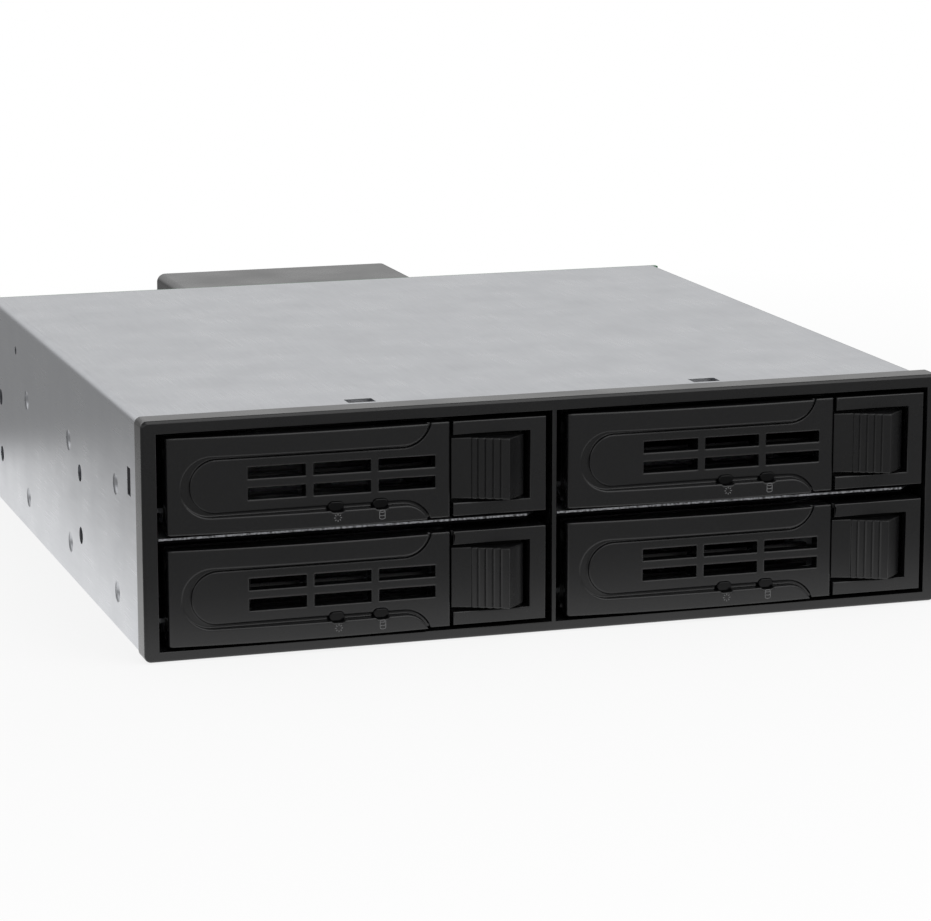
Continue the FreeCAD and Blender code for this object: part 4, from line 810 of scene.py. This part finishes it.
def field_of_pads(name: str, ground: bpy.types.Mesh, spacing: float, radius: float, height: float, seed: int,
                  material: bpy.types.Material) -> bpy.types.Object:
    """Scatters small round pads over a flat face that looks to the rear.

    Args:
        name: The piece's name.
        ground: The face, as a mesh.
        spacing: Least distance between pads.
        radius: A pad's radius.
        height: A pad's thickness.
        seed: Fixes where the pads fall.
        material: Their material.

    Returns:
        The new piece.
    """
    repeater = Repeater(name + "_field", {
        "Spacing": ("NodeSocketFloat", spacing), "Radius": ("NodeSocketFloat", radius),
        "Height": ("NodeSocketFloat", height), "Seed": ("NodeSocketInt", seed),
        "Material": ("NodeSocketMaterial", material)})
    tree, given = repeater.start()
    scatter = add_node(tree, "GeometryNodeDistributePointsOnFaces", {
        "distribute_method": "POISSON", "Density Max": 1 / spacing ** 2},
        {"Mesh": given.outputs["Geometry"], "Distance Min": given.outputs["Spacing"],
         "Seed": given.outputs["Seed"]})
    pad = add_node(tree, "GeometryNodeMeshCylinder", {"Vertices": 10},
                   {"Radius": given.outputs["Radius"], "Depth": given.outputs["Height"]})
    laid = add_node(tree, "GeometryNodeTransform", {"Rotation": (QUARTER_TURN, 0, 0)},
                    {"Geometry": pad.outputs["Mesh"]})
    pads = add_node(tree, "GeometryNodeInstanceOnPoints", {}, {"Points": scatter.outputs["Points"],
                                                              "Instance": laid.outputs["Geometry"]})
    repeater.finish(tree, given, pads.outputs["Instances"])
    return repeater.grow(tree, name, ground)


# ---------------------------------------------------------------- sub-assemblies


@dataclass
class Shell:
    """Folded sheet metal and the moulded bezel."""

    frame: dict
    paint: Paintbox
    bezel_round_mm: float = 0.22
    cover_round_mm: float = 0.1

    def build(self) -> None:
        """Makes and coats the shell's pieces."""
        dress(self.frame, self.paint, "top_cover", Finishes.ZINC_SHEET,
              EdgeRounder(self.cover_round_mm))
        dress(self.frame, self.paint, "front_bezel", Finishes.BLACK_ABS,
              EdgeRounder(self.bezel_round_mm), front_rule(low_corner("front_bezel").y))
        for node in ("bottom_plate", "centre_wall"):
            self.paint.coat(self.frame["nodes"][node], Finishes.ZINC_SHEET)
        for node in ("left_shelf", "right_shelf"):
            # The shelves' front edges get a flecked lip and a band of painted shade below it.
            edge = ShearedSheetWithShade("sheared_zinc_sheet_with_painted_shade", "#C4C6CA", metallic=1.0, roughness=0.33,
                                level=high_corner(node).z)
            self.paint.apply(self.frame["nodes"][node], self.paint.mix(edge))
        log.info("shell: cover, bezel, floor, shelves and centre wall")


@dataclass
class Icons:
    """Two small printed marks under a tray's lamps, in mm: a burst for activity and a drum for the drive."""

    ticks: int = 8
    burst_radius: float = 0.56
    tick: tuple[float, float, float] = (0.15, 0.02, 0.3)
    drum_wide: float = 1.0
    drum_high: float = 1.2
    drum_dip: float = 0.2
    drum_steps: int = 6
    stroke: float = 0.13
    ink: float = 0.015
    below_lamp: float = 1.72
    reach: float = 10.0

    def centres(self, lenses: bpy.types.Object) -> list[Vector]:
        """Finds the point below each lens where its mark goes.

        Args:
            lenses: The tray's two lenses.

        Returns:
            The left and the right point.
        """
        points = [vertex.co for vertex in lenses.data.vertices]
        middle = (min(point.x for point in points) + max(point.x for point in points)) / 2
        places = []
        for side in (-1, 1):
            half = [point for point in points if (point.x - middle) * side > 0]
            low, high = box_of(half)
            places.append(Vector(((low.x + high.x) / 2, low.y, (low.z + high.z) / 2 - self.below_lamp * MM)))
        return places

    def on_face(self, surface: BVHTree, point: Vector) -> Vector:
        """Moves a point onto the handle's front face.

        Args:
            surface: The handle's faces.
            point: A point in front of the handle or in it.

        Returns:
            The place on the face, or the point itself where there is no face.
        """
        start = Vector((point.x, point.y - self.reach * MM, point.z))
        hit = surface.ray_cast(start, Vector((0, 1, 0)))[0]
        return hit if hit is not None else point

    def drum(self, name: str, centre: Vector, surface: BVHTree) -> bpy.types.Mesh:
        """Draws the outline of a drum in thin strokes on the handle's face.

        Args:
            name: The mesh's name.
            centre: Middle of the drum.
            surface: The handle's faces.

        Returns:
            The strokes as a mesh.
        """
        wide, high, dip = self.drum_wide * MM / 2, self.drum_high * MM / 2, self.drum_dip * MM
        turns = [math.pi * step / self.drum_steps for step in range(2 * self.drum_steps + 1)]
        rim = [(wide * math.cos(turn), high + dip * math.sin(turn)) for turn in turns]
        lines = [rim] + [[(wide * math.cos(turn), level - dip * math.sin(turn))
                          for turn in turns[:self.drum_steps + 1]] for level in (0.0, -high)]
        lines += [[(side * wide, high), (side * wide, -high)] for side in (-1, 1)]
        form = bmesh.new()
        half = self.stroke * MM / 2
        for line in lines:
            for (x0, z0), (x1, z1) in zip(line, line[1:]):
                along = Vector((x1 - x0, 0, z1 - z0)).normalized()
                side = Vector((-along.z, 0, along.x)) * half
                ends = [Vector((x0, 0, z0)) - side, Vector((x1, 0, z1)) - side, Vector((x1, 0, z1)) + side,
                        Vector((x0, 0, z0)) + side]
                form.faces.new([
                    form.verts.new(self.on_face(surface, centre + end) - Vector((0, self.ink * MM, 0)))
                    for end in ends])
        mesh = bpy.data.meshes.new(name)
        bmesh.ops.recalc_face_normals(form, faces=form.faces)
        for face in form.faces:
            if face.normal.y > 0:
                face.normal_flip()
        form.to_mesh(mesh)
        form.free()
        return mesh


@dataclass
class Tray:
    """One tray: sled, moulded front, handle, latch and lamps."""

    frame: dict
    paint: Paintbox
    number: int
    front_round_mm: float = 0.3
    lens_round_mm: float = 0.2
    latch_rounder: EdgeRounder = field(default_factory=lambda: EdgeRounder(0.2, 2, 14.0))
    latch_face_mm: float = 1.0
    flange_mm: float = 1.2
    upright_share: float = 0.35

    def node(self, part: str) -> str:
        """Returns the full name of one of the tray's nodes."""
        return f"tray_{self.number}_{part}"

    def latch_rule(self, front: float) -> EdgeRule:
        """Makes the rule for the latch, whose ribs are round and whose flanges are not.

        Args:
            front: Where the tray's front face is, in metres.

        Returns:
            The rule, which gives level edges the whole round and the ribs' upright edges less.
        """
        inset = self.flange_mm * MM / 2
        low, high = low_corner(self.node("latch")).z + inset, high_corner(self.node("latch")).z - inset

        def share(a: Vector, b: Vector, wall: Vector) -> float:
            """Returns one edge's share of the round."""
            on_rib = max(a.y, b.y) < front + self.latch_face_mm * MM and low < (a.z + b.z) / 2 < high
            return (1.0 if abs(a.z - b.z) < LEVEL else self.upright_share) if on_rib else 0.0

        return share

    def build(self) -> None:
        """Makes and coats the tray's pieces."""
        front = low_corner(self.node("front")).y
        handle = self.frame["nodes"][self.node("handle")]
        dress(self.frame, self.paint, self.node("front"), Finishes.BLACK_ABS,
              EdgeRounder(self.front_round_mm), front_rule(front))
        dress(self.frame, self.paint, self.node("latch"), Finishes.LATCH_ABS,
              self.latch_rounder, self.latch_rule(front))
        dress(self.frame, self.paint, self.node("led_lenses"), Finishes.SMOKED_LENS,
              EdgeRounder(self.lens_round_mm), lambda a, b, wall: float(max(a.y, b.y) < front))
        for part, finish in (("handle", Finishes.HANDLE_ABS), ("sled", Finishes.SLED_SHEET),
                             ("hinge_pin", Finishes.PLATED_STEEL), ("latch_spring", Finishes.SPRING_STRIP),
                             ("kick_spring", Finishes.SPRING_STRIP), ("light_pipes", Finishes.CLEAR_ACRYLIC)):
            self.paint.coat(self.frame["nodes"][self.node(part)], finish)
        self.print_icons(handle)
        log.info("tray %d: front, handle, latch, lamps and marks", self.number)

    def print_icons(self, handle: bpy.types.Object) -> None:
        """Prints the two marks below the lamps.

        Args:
            handle: The handle that they are printed on.
        """
        icons = Icons()
        surface = BVHTree.FromPolygons([vertex.co for vertex in handle.data.vertices],
                                       [list(face.vertices) for face in handle.data.polygons])
        left, right = icons.centres(self.frame["nodes"][self.node("led_lenses")])
        ink = self.paint.get(Finishes.GREY_INK)
        burst = rings_of_ticks(self.node("activity_mark"), [icons.on_face(surface, left)], icons.ticks,
                               icons.burst_radius * MM, Vector(icons.tick) * MM, ink)
        drum = new_piece(self.node("drive_mark"), icons.drum(self.node("drive_mark"), right, surface))
        self.paint.apply(drum, ink)
        for mark in (burst, drum):
            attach(mark, f"tray_{self.number}_lever")


@dataclass
class Rear:
    """Backplane board, its connectors and contacts, and the fan in its box. Sizes are in mm."""

    frame: dict
    paint: Paintbox
    data_contacts: int = 7
    power_contacts: int = 15
    contact_pitch: float = 1.27
    contact: tuple[float, float, float] = (0.12, 4.4, 0.84)
    port_wide: float = 5.2
    port_high: float = 14.6
    port_step: float = 12.5
    inlet_wide: float = 24.4
    inlet_high: float = 6.4
    tongue_half: float = 0.6
    contact_middle: float = 4.9
    via_spacing: float = 3.4
    via_radius: float = 0.42
    via_height: float = 0.05
    via_seed: int = 11
    via_margin: tuple[float, float] = (0.985, 0.95)
    housing_round: float = 0.1
    can_round: float = 0.5

    def build(self) -> None:
        """Coats the rear pieces and adds their contacts and pads."""
        finishes = {
            "backplane_board": Finishes.SOLDER_RESIST, "drive_sockets": Finishes.CONNECTOR_NYLON,
            "data_ports": Finishes.CONNECTOR_NYLON, "power_inlets": Finishes.CONNECTOR_NYLON,
            "fan_header": Finishes.CONNECTOR_NYLON, "status_leds": Finishes.DIODE_EPOXY,
            "fan_frame": Finishes.GLASS_PBT, "fan_rotor": Finishes.GLASS_PBT,
        }
        for node, finish in finishes.items():
            self.paint.coat(self.frame["nodes"][node], finish)
        dress(self.frame, self.paint, "fan_housing", Finishes.BLACK_ABS,
              EdgeRounder(self.housing_round))
        top = high_corner("capacitors").y
        dress(self.frame, self.paint, "capacitors", Finishes.DRAWN_CAN,
              EdgeRounder(self.can_round), lambda a, b, wall: float(min(a.y, b.y) > top - IN_FACE))
        self.scatter_pads()
        self.set_contacts()
        log.info("rear: board, connectors, fan and box")

    def set_contacts(self) -> None:
        """Sets a row of gold contacts on the tongue of each data port and power inlet."""
        rear = high_corner("backplane_board").y + self.contact_middle * MM
        pitch = self.contact_pitch * MM
        outer = high_corner("data_ports").x - self.port_wide * MM / 2
        height = high_corner("data_ports").z - self.port_high * MM / 2
        ports = [Vector((side * middle + self.tongue_half * MM, rear,
                         height - self.data_contacts // 2 * pitch))
                 for side in (-1, 1) for middle in (outer, outer - self.port_step * MM)]
        middle = high_corner("power_inlets").x - self.inlet_wide * MM / 2
        level = low_corner("power_inlets").z + (self.inlet_high / 2 + self.tongue_half) * MM
        inlets = [Vector((side * middle - self.power_contacts // 2 * pitch, rear, level)) for side in (-1, 1)]
        gold = self.paint.get(Finishes.CONTACT_GOLD)
        thick, long, wide = (value * MM for value in self.contact)
        for piece in (
                rows_of_blocks("data_contacts", ports, self.data_contacts, Vector((0, 0, pitch)),
                               Vector((thick, long, wide)), gold),
                rows_of_blocks("power_contacts", inlets, self.power_contacts, Vector((pitch, 0, 0)),
                               Vector((wide, long, thick)), gold)):
            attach(piece, "cage")

    def scatter_pads(self) -> None:
        """Scatters tinned via pads over the board's rear face."""
        low, high = low_corner("backplane_board"), high_corner("backplane_board")
        form = merged_form(self.frame["nodes"]["backplane_board"].data)
        wrong = [face for face in form.faces
                 if face.normal.y < 0.9 or face.calc_center_median().y < high.y - IN_FACE]
        bmesh.ops.delete(form, geom=wrong, context="FACES")
        middle = (low + high) / 2
        for vertex in form.verts:
            vertex.co.x = middle.x + (vertex.co.x - middle.x) * self.via_margin[0]
            vertex.co.z = middle.z + (vertex.co.z - middle.z) * self.via_margin[1]
        ground = bpy.data.meshes.new("board_rear_face")
        form.to_mesh(ground)
        form.free()
        pads = field_of_pads("board_vias", ground, self.via_spacing * MM, self.via_radius * MM,
                             self.via_height * MM, self.via_seed, self.paint.get(Finishes.TINNED_COPPER))
        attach(pads, "cage")


@dataclass
class Fixings:
    """Screws, each with a cross recess cut into its head. The recess is sized by the head's diameter."""

    frame: dict
    paint: Paintbox
    recess_wide: float = 0.16
    recess_long: float = 0.62
    recess_deep: float = 0.28
    inner_wide: float = 0.7
    inner_long: float = 0.45
    above_mm: float = 0.4
    head_mm: float = 6.5
    head_face_mm: float = 0.02

    def heads(self, node: str) -> list[tuple[Vector, float]]:
        """Finds each screw's head.

        Args:
            node: The CAD node that holds the screws.

        Returns:
            The middle of each head's rear face, with its radius.
        """
        form = merged_form(self.frame["nodes"][node].data)
        rear = max(vertex.co.y for vertex in form.verts)
        left = [vertex.co for vertex in form.verts if vertex.co.y > rear - self.head_face_mm * MM]
        found = []
        while left:
            seed = left[0]
            near = [point for point in left if (point - seed).length < self.head_mm * MM]
            low, high = box_of(near)
            found.append(((low + high) / 2, (high.x - low.x) / 2))
            left = [point for point in left if (point - seed).length >= self.head_mm * MM]
        form.free()
        return found

    def cutter(self, name: str, heads: list[tuple[Vector, float]]) -> bpy.types.Object:
        """Makes the crosses to cut, two tapered blades for each head.

        Args:
            name: The cutter's name.
            heads: Middle and radius of each head.

        Returns:
            The cutter.
        """
        form = bmesh.new()
        for middle, radius in heads:
            for turn in (0.0, QUARTER_TURN):
                for vertex in bmesh.ops.create_cube(form, size=1.0)["verts"]:
                    inner = vertex.co.y < 0
                    long = radius * 2 * self.recess_long * (self.inner_long if inner else 1.0)
                    wide = radius * 2 * self.recess_wide * (self.inner_wide if inner else 1.0)
                    end = -radius * 2 * self.recess_deep if inner else self.above_mm * MM
                    vertex.co = Vector((vertex.co.x * long, end, vertex.co.z * wide))
                    vertex.co = Matrix.Rotation(turn, 3, "Y") @ vertex.co + middle
        mesh = bpy.data.meshes.new(name)
        form.to_mesh(mesh)
        form.free()
        return new_piece(name, mesh)

    def build(self) -> None:
        """Makes every set of screws."""
        nodes = ["board_screws", "housing_screws", "fan_screws"]
        nodes += [f"tray_{number}_screws" for number in TRAY_NUMBERS]
        for node in nodes:
            piece = merged_copy(self.frame, node, node + "_dressed")
            tool = self.cutter(node + "_recess", self.heads(node))
            recess = piece.modifiers.new("cross_recess", "BOOLEAN")
            recess.operation = "DIFFERENCE"
            recess.solver = "EXACT"
            recess.use_self = True
            recess.object = tool
            bake_modifiers(piece)
            bpy.data.objects.remove(tool)
            EdgeRounder(0.0).run(piece, None)
            self.paint.coat(piece, Finishes.PLATED_STEEL)
            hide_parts(node)
            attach(piece, body_of_node(self.frame, node))
        log.info("fixings: %d sets of screws with cross recesses", len(nodes))


# ---------------------------------------------------------------- studio


@dataclass
class Studio:
    """Pale floor, soft lamp and the camera, in metres. The levels are strengths, at which 1 is white."""

    floor_size: float = 8.0
    floor_drop: float = 0.0002
    near_level: float = 1.1
    far_level: float = 0.34
    fall_off: float = 0.05
    shadow_reach: float = 0.25
    shadow_share: float = 0.85
    low_sky: float = 0.2
    high_sky: float = 0.4
    sky_light: float = 0.5
    pales: tuple[float, float] = (0.0, 0.2)
    dims: tuple[float, float] = (0.3, 0.6)
    lens_mm: float = 139.73
    sensor_mm: float = 36.0
    camera_at: tuple[float, float, float] = (-0.20342, -0.66917, 0.16014)
    yaw: float = 0.30852
    pitch: float = 0.20514
    roll: float = 0.000525
    lamp_size: tuple[float, float] = (0.8, 1.3)
    lamp_at: tuple[float, float, float] = (0.256, -0.464, 0.676)
    lamp_aim: tuple[float, float, float] = (0.0, -0.085, 0.02)
    lamp_radiance: float = 1.2

    def build(self) -> None:
        """Makes the floor, the world, the lamp and the camera."""
        self.make_floor()
        self.make_world()
        self.make_lamp()
        self.make_camera()
        bpy.context.scene.view_settings.view_transform = "Standard"
        log.info("studio: floor, world, lamp and camera")

    def mirrored(self, tree: bpy.types.NodeTree, path: bpy.types.Node) -> bpy.types.NodeSocket:
        """Returns 1 for what metal or glass shows, and 0 for the rest."""
        either = {0: path.outputs["Is Glossy Ray"], 1: path.outputs["Is Transmission Ray"]}
        return add_node(tree, "ShaderNodeMath", {"operation": "MAXIMUM"}, either).outputs["Value"]

    def make_floor(self) -> None:
        """Makes a white floor that keeps the object's shadow; in reflections it glows as a painted pool of
        light, brightest beside the object.
        """
        half = self.floor_size / 2
        low, high = (Vector(corner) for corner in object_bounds())
        mesh = bpy.data.meshes.new("studio_floor")
        mesh.from_pydata([(-half, -half, 0), (half, -half, 0), (half, half, 0), (-half, half, 0)], [],
                         [(0, 1, 2, 3)])
        floor = new_piece("studio_floor", mesh)
        floor.location.z = -self.floor_drop
        material = bpy.data.materials.new("pale_paper")
        material.use_nodes = True
        tree = material.node_tree
        tree.nodes.clear()
        beyond = add_node(tree, "ShaderNodeTexCoord", {}).outputs["Object"]
        for step in ({"operation": "ABSOLUTE"},
                     {"operation": "SUBTRACT", 1: ((high.x - low.x) / 2, (high.y - low.y) / 2, 0)},
                     {"operation": "MAXIMUM", 1: (0, 0, 0)}):
            beyond = add_node(tree, "ShaderNodeVectorMath", step, {0: beyond}).outputs["Vector"]
        distance = add_node(tree, "ShaderNodeVectorMath", {"operation": "LENGTH"},
                            {0: beyond}).outputs["Value"]
        # Painted pool of light: for glossy rays the floor glows brightest beside the object and dims with
        # distance.
        level = add_node(tree, "ShaderNodeMapRange", {
            "interpolation_type": "SMOOTHSTEP", "From Min": 0.0, "From Max": self.fall_off,
            "To Min": self.near_level, "To Max": self.far_level}, {"Value": distance})
        path = add_node(tree, "ShaderNodeLightPath", {})
        strength = add_node(tree, "ShaderNodeMix", {"data_type": "FLOAT", NUMBER_B: 1.0},
                            {FACTOR: path.outputs["Is Camera Ray"], NUMBER_A: level.outputs["Result"]})
        white = add_node(tree, "ShaderNodeEmission", {"Color": linear("#FFFFFF")},
                         {"Strength": strength.outputs[MIXED_NUMBER]})
        paper = add_node(tree, "ShaderNodeBsdfDiffuse", {"Color": linear("#F2F2F2")})
        clean = add_node(tree, "ShaderNodeMapRange", {
            "From Min": 0.0, "From Max": self.shadow_reach, "To Min": self.shadow_share, "To Max": 1.0},
            {"Value": distance})
        seen = add_node(tree, "ShaderNodeMath", {"operation": "MULTIPLY"},
                        {0: path.outputs["Is Camera Ray"], 1: clean.outputs["Result"]})
        share = add_node(tree, "ShaderNodeMath", {"operation": "MAXIMUM"},
                         {0: seen.outputs["Value"], 1: self.mirrored(tree, path)})
        mix = add_node(tree, "ShaderNodeMixShader", {}, {0: share.outputs["Value"], 1: paper.outputs["BSDF"],
                                                         2: white.outputs["Emission"]})
        add_node(tree, "ShaderNodeOutputMaterial", {}, {"Surface": mix.outputs["Shader"]})
        mesh.materials.append(material)
        floor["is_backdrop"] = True

    def make_world(self) -> None:
        """Makes a world that shows white, mirrors a sky palest at mid height, and lights at a plain level."""
        world = bpy.data.worlds.new("studio_world")
        bpy.context.scene.world = world
        world.use_nodes = True
        tree = world.node_tree
        tree.nodes.clear()
        place = add_node(tree, "ShaderNodeTexCoord", {})
        split = add_node(tree, "ShaderNodeSeparateXYZ", {}, {"Vector": place.outputs["Generated"]})
        slopes = [add_node(tree, "ShaderNodeMapRange", {
            "From Min": start, "From Max": end, "To Min": first, "To Max": last},
            {"Value": split.outputs["Z"]})
            for (start, end), first, last in (
                (self.pales, self.low_sky, 1.0), (self.dims, 1.0, self.high_sky))]
        sheen = add_node(tree, "ShaderNodeMath", {"operation": "MINIMUM"},
                         {number: slope.outputs["Result"] for number, slope in enumerate(slopes)})
        path = add_node(tree, "ShaderNodeLightPath", {})
        lit = add_node(tree, "ShaderNodeMix", {"data_type": "FLOAT", NUMBER_A: self.sky_light},
                       {FACTOR: self.mirrored(tree, path), NUMBER_B: sheen.outputs["Value"]})
        level = add_node(tree, "ShaderNodeMix", {"data_type": "FLOAT", NUMBER_B: 1.0},
                         {FACTOR: path.outputs["Is Camera Ray"], NUMBER_A: lit.outputs[MIXED_NUMBER]})
        sky = add_node(tree, "ShaderNodeBackground", {"Color": linear("#FFFFFF")},
                       {"Strength": level.outputs[MIXED_NUMBER]})
        add_node(tree, "ShaderNodeOutputWorld", {}, {"Surface": sky.outputs["Background"]})

    def make_lamp(self) -> None:
        """Hangs a broad softbox above the front, at a level that steel mirrors without clipping."""
        lamp = bpy.data.lights.new("overhead_softbox", "AREA")
        lamp.shape = "RECTANGLE"
        lamp.size, lamp.size_y = self.lamp_size
        lamp.energy = self.lamp_radiance * math.pi * self.lamp_size[0] * self.lamp_size[1]
        holder = bpy.data.objects.new("overhead_softbox", lamp)
        holder.location = self.lamp_at
        aim = Vector(self.lamp_aim) - Vector(self.lamp_at)
        holder.rotation_euler = aim.to_track_quat("-Z", "Y").to_euler()
        bpy.context.scene.collection.objects.link(holder)

    def make_camera(self) -> None:
        """Places the camera at the view that shows the front, the left side and the top."""
        data = bpy.data.cameras.new("view")
        data.lens = self.lens_mm
        data.sensor_width = self.sensor_mm
        data.clip_start = 0.01
        camera = bpy.data.objects.new("view", data)
        camera.location = self.camera_at
        camera.rotation_euler = (QUARTER_TURN - self.pitch, self.roll, -self.yaw)
        bpy.context.scene.collection.objects.link(camera)
        bpy.context.scene.camera = camera


def main() -> None:
    """Builds every piece in order."""
    logging.basicConfig(level=logging.INFO, format="%(name)s: %(message)s")
    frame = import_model()
    paint = Paintbox()
    Shell(frame, paint).build()
    for number in TRAY_NUMBERS:
        Tray(frame, paint, number).build()
    Rear(frame, paint).build()
    Fixings(frame, paint).build()
    Studio().build()


if __name__ == "__main__":
    main()
